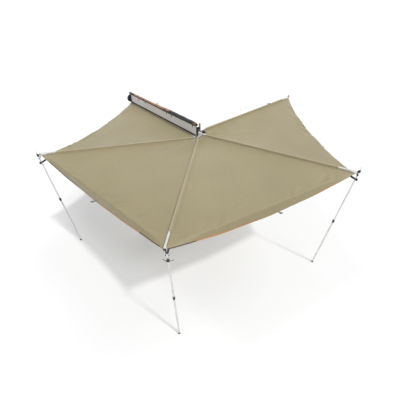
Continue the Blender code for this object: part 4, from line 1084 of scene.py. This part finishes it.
def build_rail_edge(panel):
    """The first panel's edge on the rail: a black webbing strip with a corded bead."""
    face = LINING_FACE - 0.0052
    edge = [panel.surface(0.0, share) for share in shares(120)]
    bead = tube("bead", [Vector((place.x, face, place.z + 0.0030)) for place in edge],
                EDGE_BEAD_RADIUS, 10)
    strip = ribbon("strip", [Vector((place.x, face + 0.0016, place.z + 0.0115)) for place in edge],
                   Vector((0, 0, 1)), EDGE_STRIP_WIDTH, EDGE_WEB_THICKNESS)
    upright = [Vector((WALL_RIGHT, face + 0.0018, -0.070 + 0.160 * share)) for share in shares(12)]
    rear = ribbon("rear", upright, Vector((1, 0, 0)), EDGE_END_WIDTH, EDGE_WEB_THICKNESS)
    riding(joined("rail_edge_webbing", [bead, strip, rear]), "webbing")


def gusset_loop():
    half = RAIL_TOP - 0.004 - GUSSET_LIFT
    front = RAIL_FACE - GUSSET_REACH
    loop = [(RAIL_FACE, half), (RAIL_FACE - 0.012, half - 0.0005)]
    loop += [(front + half * 0.55 + u, v) for u, v in arc(half * 0.98, 140, 220, 14)]
    loop += [(RAIL_FACE - 0.012, -half + 0.0005), (RAIL_FACE, -half)]
    loop += [(RAIL_FACE, -half + 2 * half * k / 8) for k in range(1, 8)]
    return [Vector((y, z + GUSSET_LIFT)) for y, z in loop]


def flatten_with_arm(obj):
    """Gives a piece of the bag's end its own copy of its mesh."""
    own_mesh(obj)


def build_gusset():
    """The bag's end wall: a padded D with a piped rim and a darker oval in its middle."""
    loop = gusset_loop()
    middle = Vector((sum(spot.x for spot in loop) / len(loop), GUSSET_LIFT))
    rings = []
    for size, depth in END_WALL_DISH:
        places = [middle + (spot - middle) * max(size, 0.02) for spot in loop]
        rings.append([Vector((-RAIL_END + depth
                              + 0.0012 * pleat(place.x * 40, place.y * 30) * (1 - size), *place))
                      for place in places])
    for size, depth in END_WALL_BACK:
        rings.append([Vector((-RAIL_END + depth, *(middle + (spot - middle) * size)))
                      for spot in loop])
    mesh = loft("bag_end_wall", rings)
    wall = riding(mesh, "bag_cloth")
    mesh.materials.append(materials["bag_dark"])
    for face in mesh.polygons:
        off = face.center.yz - middle
        oval = (off.x / 0.014) ** 2 + (off.y / 0.048) ** 2
        face.material_index = 1 if oval < 1 and face.center.x < -RAIL_END + 0.02 else 0
    flatten_with_arm(wall)
    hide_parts("bag_end_gusset")
    rim = [Vector((-RAIL_END + 0.0022, *spot)) for spot in loop]
    flatten_with_arm(riding(tube("bag_end_piping", rim, 0.0024, 8, closed=True), "webbing"))


def build_zip():
    """The lower zip's tape, with a row of teeth along its free edge."""
    tape_y = RAIL_FACE - ZIP_TAPE_WIDTH
    z = -RAIL_TOP + 0.003
    start = ZIP_CENTRE - ZIP_LENGTH / 2
    rows = [[Vector((start + ZIP_LENGTH * share, y, z + lift * math.sin(ZIP_RIPPLE * share)))
             for share in shares(ZIP_STEPS)]
            for y, lift in ((RAIL_FACE, 0.0), (RAIL_FACE - 0.005, 0.0003), (tape_y + 0.001, 0.0))]
    tape = link(grid_mesh("zip_tape_web", rows), "webbing")
    thicken(tape, 0.0011, 0.0)
    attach(tape, "rail")
    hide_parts("zip_tape")
    rings = []
    for k, share in enumerate(shares(round(ZIP_LENGTH / TOOTH_PITCH) * 4)):
        x = start + ZIP_LENGTH * share
        size = ZIP_BEAD_RADIUS if k % 4 < 2 else TOOTH_NECK
        rings.append([Vector((x, tape_y + size * u, z + size * v)) for u, v in arc(1, 0, 315, 7)])
    teeth = riding(loft("zip_teeth", rings), "black_plastic", smooth=False)


# Leg straps: the webbing is wider and runs further in than the CAD model's

STRAP_LONGER = 0.070
BAND_WIDTH = STRAP_WIDTH * 1.35
BAND_STEPS = 16
LOOSE_ENDS = ((1, 0.056, 0.020), (-1, 0.044, 0.024))
LOOSE_END_WIDTH = 0.019
LOOSE_END_THICKNESS = 0.0040
STRAP_INNER = UPPER_TUBE_RADIUS / math.cos(math.pi / TUBE_FACETS) + GAP
STRAP_MIDDLE = STRAP_INNER + STRAP_THICKNESS / 2
STRAP_OUTER = STRAP_INNER + STRAP_THICKNESS


def cloth_floor(place, reach):
    """Lowest underside of the panels' corners within a level distance of a world place."""
    lowest = place.z + 1.0
    for panel in panels:
        for row in range(13):
            for column in range(25):
                for across in (0.001 * column, 1 - 0.001 * column):
                    point = panel.top(across, 1 - 0.01 * row)
                    if math.hypot(point.x - place.x, point.y - place.y) < reach:
                        lowest = min(lowest, point.z)
    return lowest - CLOTH_THICKNESS


def strap_band(run_out, top):
    """Webbing from the leg's loop up to the cloth, which turns from upright to flat."""
    start = Vector((-STRAP_OUTER, 0, -STRAP_DROP + STRAP_WIDTH / 4))
    bend = Vector((-run_out + STRAP_TAIL, 0, top - STRAP_THICKNESS / 2))
    path = [start.lerp(bend, share) - Vector((0, 0, 0.004 * math.sin(math.pi * share)))
            for share in shares(BAND_STEPS)]
    path += [bend - Vector((STRAP_TAIL * share, 0, 0)) for share in shares(4)[1:]]
    rings = []
    for k, place in enumerate(path):
        run = along(path, k)
        flat = smoothstep(k / BAND_STEPS)
        side = (Vector((0, 1, 0)) * flat + Vector((0.35, 0, 1)) * (1 - flat)).normalized()
        up = run.cross(side).normalized()
        side = up.cross(run)
        rings.append([place + side * (BAND_WIDTH / 2 * u) + up * (STRAP_THICKNESS * v)
                      for u, v in RIBBON_EDGE])
    return loft("band", rings)


def strap_cuff():
    """The webbing's loop round the leg, a little uneven."""
    rings = []
    for u, v in arc(1, 0, 350, 35):
        lean = 0.0008 * math.sin(3 * math.atan2(v, u))
        ring = []
        for across, thick in RIBBON_EDGE:
            size = STRAP_MIDDLE + thick * STRAP_THICKNESS / 2
            height = -STRAP_DROP + across * STRAP_WIDTH / 2 + lean
            ring.append(Vector((u * size, v * size, height)))
        rings.append(ring)
    return loft("cuff", rings + rings[:1], caps=False)


def strap_end(side, length, curl):
    """One loose end of the webbing, which curls up beside the buckle."""
    path = []
    for share in shares(12):
        height = -STRAP_DROP - 0.004 * math.sin(share * 2.6) + curl * share ** 2.6
        path.append(Vector((STRAP_MIDDLE * 0.72 + 0.003, side * (0.004 + length * share), height)))
    return ribbon("end", path, Vector((0.6, 0, 0.8)).normalized(), LOOSE_END_WIDTH,
                  LOOSE_END_THICKNESS)


def strap_buckle(name):
    """A rounded cam buckle on the loop's outside, with a bar and four teeth."""
    low = Vector((STRAP_OUTER - 0.0005, -0.016, -STRAP_DROP - 0.0145))
    high = Vector((STRAP_OUTER + 0.0105, 0.016, -STRAP_DROP + 0.0145))
    cage = bmesh.new()
    place = Matrix.Translation((low + high) / 2) @ Matrix.Diagonal((*(high - low), 1.0))
    bmesh.ops.create_cube(cage, size=1.0, matrix=place)
    bmesh.ops.bevel(cage, geom=cage.edges[:], offset=0.0024, segments=3, affect="EDGES")
    body = bpy.data.meshes.new("buckle")
    cage.to_mesh(body)
    cage.free()
    bar = tube("bar", [Vector((STRAP_OUTER + 0.0100, y * 0.0175, -STRAP_DROP - 0.003))
                       for y in (-1, -0.5, 0, 0.5, 1)], 0.0022, 10)
    teeth = [tube("tooth", [Vector((STRAP_OUTER + 0.0092, y, -STRAP_DROP + 0.003)),
                            Vector((STRAP_OUTER + 0.0120, y, -STRAP_DROP + 0.0075))], 0.0011, 6)
             for y in (-0.006, -0.002, 0.002, 0.006)]
    return joined(name, [body, bar] + teeth)


def build_strap(index):
    """Webbing from the canopy's corner round the leg, with a cam buckle and two loose ends."""
    name = ARM_NAMES[index]
    arm, leg = arm_body(index), f"leg_{name}"
    matrix = leg_matrix(index)
    reach = PANEL_CORNER_GAP + STRAP_RUN_IN + STRAP_LONGER
    turn = math.atan2(LEG_OFFSET - STRAP_WIDTH / 3, reach)
    run_out = math.hypot(reach, LEG_OFFSET - STRAP_WIDTH / 3)
    local = Matrix.Rotation(turn, 4, "Z")
    tail_end = matrix @ (local @ Vector((-run_out, 0, 0)))
    top = cloth_floor(tail_end, STRAP_TAIL + STRAP_WIDTH) - tail_end.z - 2 * GAP
    web = joined(f"strap_web_{name}", [strap_band(run_out, top), strap_cuff()]
                 + [strap_end(*end) for end in LOOSE_ENDS])
    web.transform(matrix @ local)
    strap = link(web, "webbing")
    cam = strap_buckle(f"strap_buckle_{name}")
    cam.transform(matrix @ local)
    clasp = link(cam, "black_plastic")
    begin = matrix @ (local @ Vector((-run_out + STRAP_TAIL, 0, top)))
    finish = matrix @ (local @ Vector((-STRAP_INNER - 0.004, 0, -STRAP_DROP)))
    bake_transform(strap, arm, leg, begin, finish)
    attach(clasp, leg)
    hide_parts(f"leg_{name}_strap")


# Edge rings and the guy rope: the rings' wire is thicker than the CAD model's

RING_WIRE_RADIUS = 0.0034
RING_CORNER = 0.004
TAB_FOLD = RING_WIRE_RADIUS + LOOP_TAB_THICKNESS
TAB_MIDDLE = RING_WIRE_RADIUS + LOOP_TAB_THICKNESS / 2
ACROSS = Vector((0, 1, 0))
EYE_PLACES = ((-5.2, 0.9), (-3.8, 0.55), (-2.5, -0.5), (-1.5, -1.45), (0.0, -2.0), (1.42, -1.42),
              (2.0, 0.0), (1.42, 1.42), (0.0, 2.0))


def ring_wire(name, lift, item):
    """A D-shaped ring with its bar along Y, placed by a matrix."""
    half = RING_BAR / 2
    bar = RING_BAR - 2 * RING_CORNER
    points = [(0.0, -half + RING_CORNER + bar * share) for share in shares(6)]
    points += [(RING_CORNER + u, half - RING_CORNER + v)
               for u, v in arc(RING_CORNER, 180, 90, 4)[1:]]
    points += [(RING_DEPTH - half + u, v) for u, v in arc(half, 90, -90, 20)]
    points += [(RING_CORNER + u, -half + RING_CORNER + v)
               for u, v in arc(RING_CORNER, 270, 180, 4)[:-1]]
    rise = math.radians(lift)
    path = [Vector((u * math.cos(rise), v, u * math.sin(rise))) for u, v in points]
    mesh = tube(name, path, RING_WIRE_RADIUS, 12, closed=True)
    mesh.transform(item)
    return link(mesh, "dark_steel")


def ring_tab(name, item):
    """Webbing folded round the ring's bar, placed by a matrix."""
    path = [Vector((-LOOP_TAB_LENGTH + (LOOP_TAB_LENGTH - 0.001) * share, 0, TAB_MIDDLE))
            for share in shares(10)]
    path += [Vector((u, 0, v)) for u, v in arc(TAB_MIDDLE, 78, -120, 14)]
    under = path[-1]
    rise = TAB_MIDDLE - 0.0017 - under.z
    path += [under + Vector((-0.018 * share, 0, rise * smoothstep(share)))
             for share in shares(4)[1:]]
    mesh = ribbon(name, path, ACROSS, LOOP_TAB_WIDTH, LOOP_TAB_THICKNESS)
    mesh.transform(item)
    return mesh


def build_edge_ring(panel, label, column):
    lift = math.radians(LOOP_LIFT_ANGLE)
    across = column / PANEL_COLUMNS
    step = 1 / PANEL_COLUMNS
    end = panel.top(across, 1.0)
    run = end - panel.top(across, panel.fold + (1 - panel.fold) * 2 / 3)
    edge = panel.top(across + step, 1.0) - panel.top(across - step, 1.0)
    tilt = edge.z / edge.to_2d().length
    edge = Vector((edge.x, edge.y, 0)).normalized()
    outward = Vector((edge.y, -edge.x, 0))
    fall = (run.z - run.dot(edge) * tilt) / run.dot(outward)
    base = Matrix.Translation(end) @ Matrix.Rotation(math.atan2(outward.y, outward.x), 4, "Z")
    base = base @ Matrix.Rotation(math.atan(tilt), 4, "X")
    down = Vector((1, 0, fall)).normalized()
    seat = Vector((down.z, 0, -down.x)) * (CLOTH_THICKNESS + 2 * GAP + LOOP_TAB_THICKNESS / 2)
    out = Vector((math.cos(lift), 0, math.sin(lift)))
    bend = seat + down * 0.004
    above = Vector((-out.z, 0, out.x)) * (TAB_FOLD - LOOP_TAB_THICKNESS / 2)
    place = bend + out * LOOP_TAB_LENGTH - above
    item = base @ Matrix.Translation(place) @ Matrix.Rotation(-lift, 4, "Y")
    ring = ring_wire(f"edge_ring_wire_{label}", 0.0, item)
    sewn = [seat - down * LOOP_SEWN_LENGTH * (1 - k / 5) for k in range(5)]
    sewn += [seat + down * 0.002, bend, bend + out * 0.004, bend + out * 0.012]
    band = ribbon("sewn", sewn, ACROSS, LOOP_TAB_WIDTH, LOOP_TAB_THICKNESS)
    band.transform(base)
    web = link(joined(f"edge_tab_{label}", [ring_tab("tab", item), band]), "pale_webbing")
    follow_cloth(ring, panel)
    follow_cloth(web, panel)
    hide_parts(f"edge_ring_{label}")


def between(before, start, end, after, share):
    """A point on the smooth curve from start to end, given the places beside them."""
    places = [before, start, end, after]
    knots = [0.0]
    for first, second in zip(places, places[1:]):
        knots.append(knots[-1] + max((second - first).length, 1e-6) ** 0.5)
    at = knots[1] + (knots[2] - knots[1]) * share
    while len(places) > 1:
        level = 4 - len(places)
        places = [first.lerp(second, (at - knots[k]) / (knots[k + 1 + level] - knots[k]))
                  for k, (first, second) in enumerate(zip(places, places[1:]))]
    return places[0]


def smooth_route(stretches, finer):
    """Points along one smooth curve; each stretch gives its places and their spacing."""
    corners = [(place, spacing) for places, spacing in stretches for place in places]
    places = [place for place, _ in corners]
    padded = [places[0] * 2 - places[1]] + places + [places[-1] * 2 - places[-2]]
    points = []
    for k, (place, spacing) in enumerate(corners[:-1]):
        steps = max(1, round((places[k + 1] - place).length / spacing)) * finer
        points += [between(*padded[k:k + 4], step / steps) for step in range(steps)]
    return points + places[-1:]


def rope_route(wire):
    """From the whipped end through the ring, taut to the hitch, round it and down the tail."""
    hitch = PIVOT + GUY_HITCH
    away = Vector((wire.x - hitch.x, wire.y - hitch.y, 0)).normalized()
    centre = wire - away * ROPE_RADIUS * 1.6
    start = centre + Vector((0, 0, 4 * ROPE_RADIUS))
    lift = (hitch.z + GUY_HITCH_RADIUS - start.z) / (hitch - start).length
    eye = [centre + (away * u + Vector((0, 0, v))) * (2 * ROPE_RADIUS)
           for u, v in EYE_PLACES + ((-2.0, 2.0 + 2 * lift),)]
    turns = []
    for step in range(12):
        angle = math.radians(55 + 27.5 * step)
        turns.append(hitch + Vector((GUY_HITCH_RADIUS * math.cos(angle), 0.004 - 0.0011 * step,
                                     GUY_HITCH_RADIUS * math.sin(angle))))
    run = turns[0] - eye[-1]
    taut = [eye[-1] + run * share - Vector((0, 0, GUY_SLACK * 4 * share * (1 - share)))
            for share in (0.06, 0.2, 0.5, 0.8, 0.94)]
    tail = [turns[-1] + Vector((0.004 * share, -0.012 * math.sin(share * 2.2), -GUY_TAIL * share))
            for share in (0.15, 0.4, 0.7, 1.0)]
    return smooth_route([(eye, 0.005), (taut, 0.0165), (turns, 0.009), (tail, 0.0125)], 3)


def build_guy():
    seat = ARM_HEIGHT / 2 + SLEEVE_EASE + SLEEVE_THICKNESS + GAP + TAB_FOLD
    spot = leg_radius(3) - SLEEVE_END_GAP - GUY_SETBACK
    item = arm_matrix(3) @ Matrix.Translation((spot, 0, seat)) @ Matrix.Rotation(math.pi, 4, "Z")
    ring = ring_wire("guy_ring_wire", RING_LIFT_ANGLE, item)
    web = link(ring_tab("guy_ring_tab", item), "pale_webbing")
    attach(ring, "arm_d")
    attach(web, "arm_d")
    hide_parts("guy_ring")

    bow = Matrix.Rotation(-math.radians(RING_LIFT_ANGLE), 4, "Y") @ Vector((RING_DEPTH, 0, 0))
    route = rope_route(item @ bow)
    rope = riding(tube("braided_rope", route, ROPE_RADIUS, 12), "rope", "arm_d")
    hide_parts("guy_rope")
    length = sum((second - first).length for first, second in zip(route, route[1:]))
    bound = riding(tube("rope_whipping", route[2:9], ROPE_RADIUS + 0.0007, 12), "webbing", "arm_d")
    tuple(route[0])
    [tuple(point) for point in route]


panels = build_canopy()
for number in range(4):
    build_sleeve(number)
    build_strap(number)
build_roll()
build_lining()
build_rail_edge(panels[0])
build_gusset()
build_zip()
for panel, label, column in zip(panels[1:], ("ab", "bc", "cd"), LOOP_COLUMNS):
    build_edge_ring(panel, label, column)
build_guy()

# Floor, lights and background

FLOOR_SIZE = 140.0
FLOOR_DROP = 0.0005
FLOOR_GLOW = 0.24
WHITE = (1.0, 1.0, 1.0)
WORLD_TINT = (0.96, 0.98, 1.0)
WORLD_STRENGTH = 0.40


def add_floor():
    """A white floor, a little brighter to the camera than the light on it makes it."""
    mesh = bpy.data.meshes.new("floor")
    corners = [(FLOOR_SIZE * x, FLOOR_SIZE * y, 0) for x, y in ((-1, -1), (1, -1), (1, 1), (-1, 1))]
    mesh.from_pydata(corners, [], [(0, 1, 2, 3)])
    floor = bpy.data.objects.new("floor", mesh)
    floor.location = (0, 0, cad_low[2] - FLOOR_DROP)
    bpy.context.scene.collection.objects.link(floor)
    shade = Shade("studio floor")
    lit = shade.ramp(shade.noise(0.6, 2.0, 0.5), (0.3, (0.78, 0.78, 0.785)),
                     (0.7, (0.80, 0.80, 0.80)))
    seen = shade.seen()
    shade.use(Base_Color=shade.blend(seen, lit, WHITE), Roughness=0.9, Specular_IOR_Level=0.1)
    shade.finish_mixed(shade.math("MULTIPLY", seen, FLOOR_GLOW), shade.shader.outputs[0],
                       shade.light("ShaderNodeEmission", WHITE, 1.0))
    mesh.materials.append(shade.material)


def add_world():
    """A dim sky as light, and plain white where the camera looks."""
    world = bpy.data.worlds.new("studio")
    bpy.context.scene.world = world
    sky = Nodes(world, "ShaderNodeOutputWorld")
    sky.finish_mixed(sky.seen(), sky.light("ShaderNodeBackground", WORLD_TINT, WORLD_STRENGTH),
                     sky.light("ShaderNodeBackground", WHITE, 1.0))


def add_lamp(name, direction, strength, softness):
    """A far lamp whose light travels in one direction, with slightly soft shadows."""
    data = bpy.data.lights.new(name, "SUN")
    data.energy = strength
    data.angle = math.radians(softness)
    lamp = bpy.data.objects.new(name, data)
    bpy.context.scene.collection.objects.link(lamp)
    lamp.matrix_world = Vector(direction).to_track_quat("-Z", "Y").to_matrix().to_4x4()
    return lamp


add_floor()
add_world()
add_lamp("key lamp", (-1.10, -0.24, -1.97), 1.20, 4.0)
add_lamp("wide key lamp", (-1.62, -0.02, -1.97), 0.62, 14.0)
add_lamp("second lamp", (0.84, 0.50, -1.75), 0.28, 12.0)
gloss = add_lamp("gloss lamp", (0.72, -0.67, -0.19), 0.45, 20.0)
add_lamp("front fill", (-0.15, 1.0, -0.16), 0.36, 30.0)
add_lamp("back lamp", (-0.30, -1.0, -1.60), 0.36, 25.0)
gloss.visible_diffuse = False
bpy.context.scene.view_settings.view_transform = "Standard"
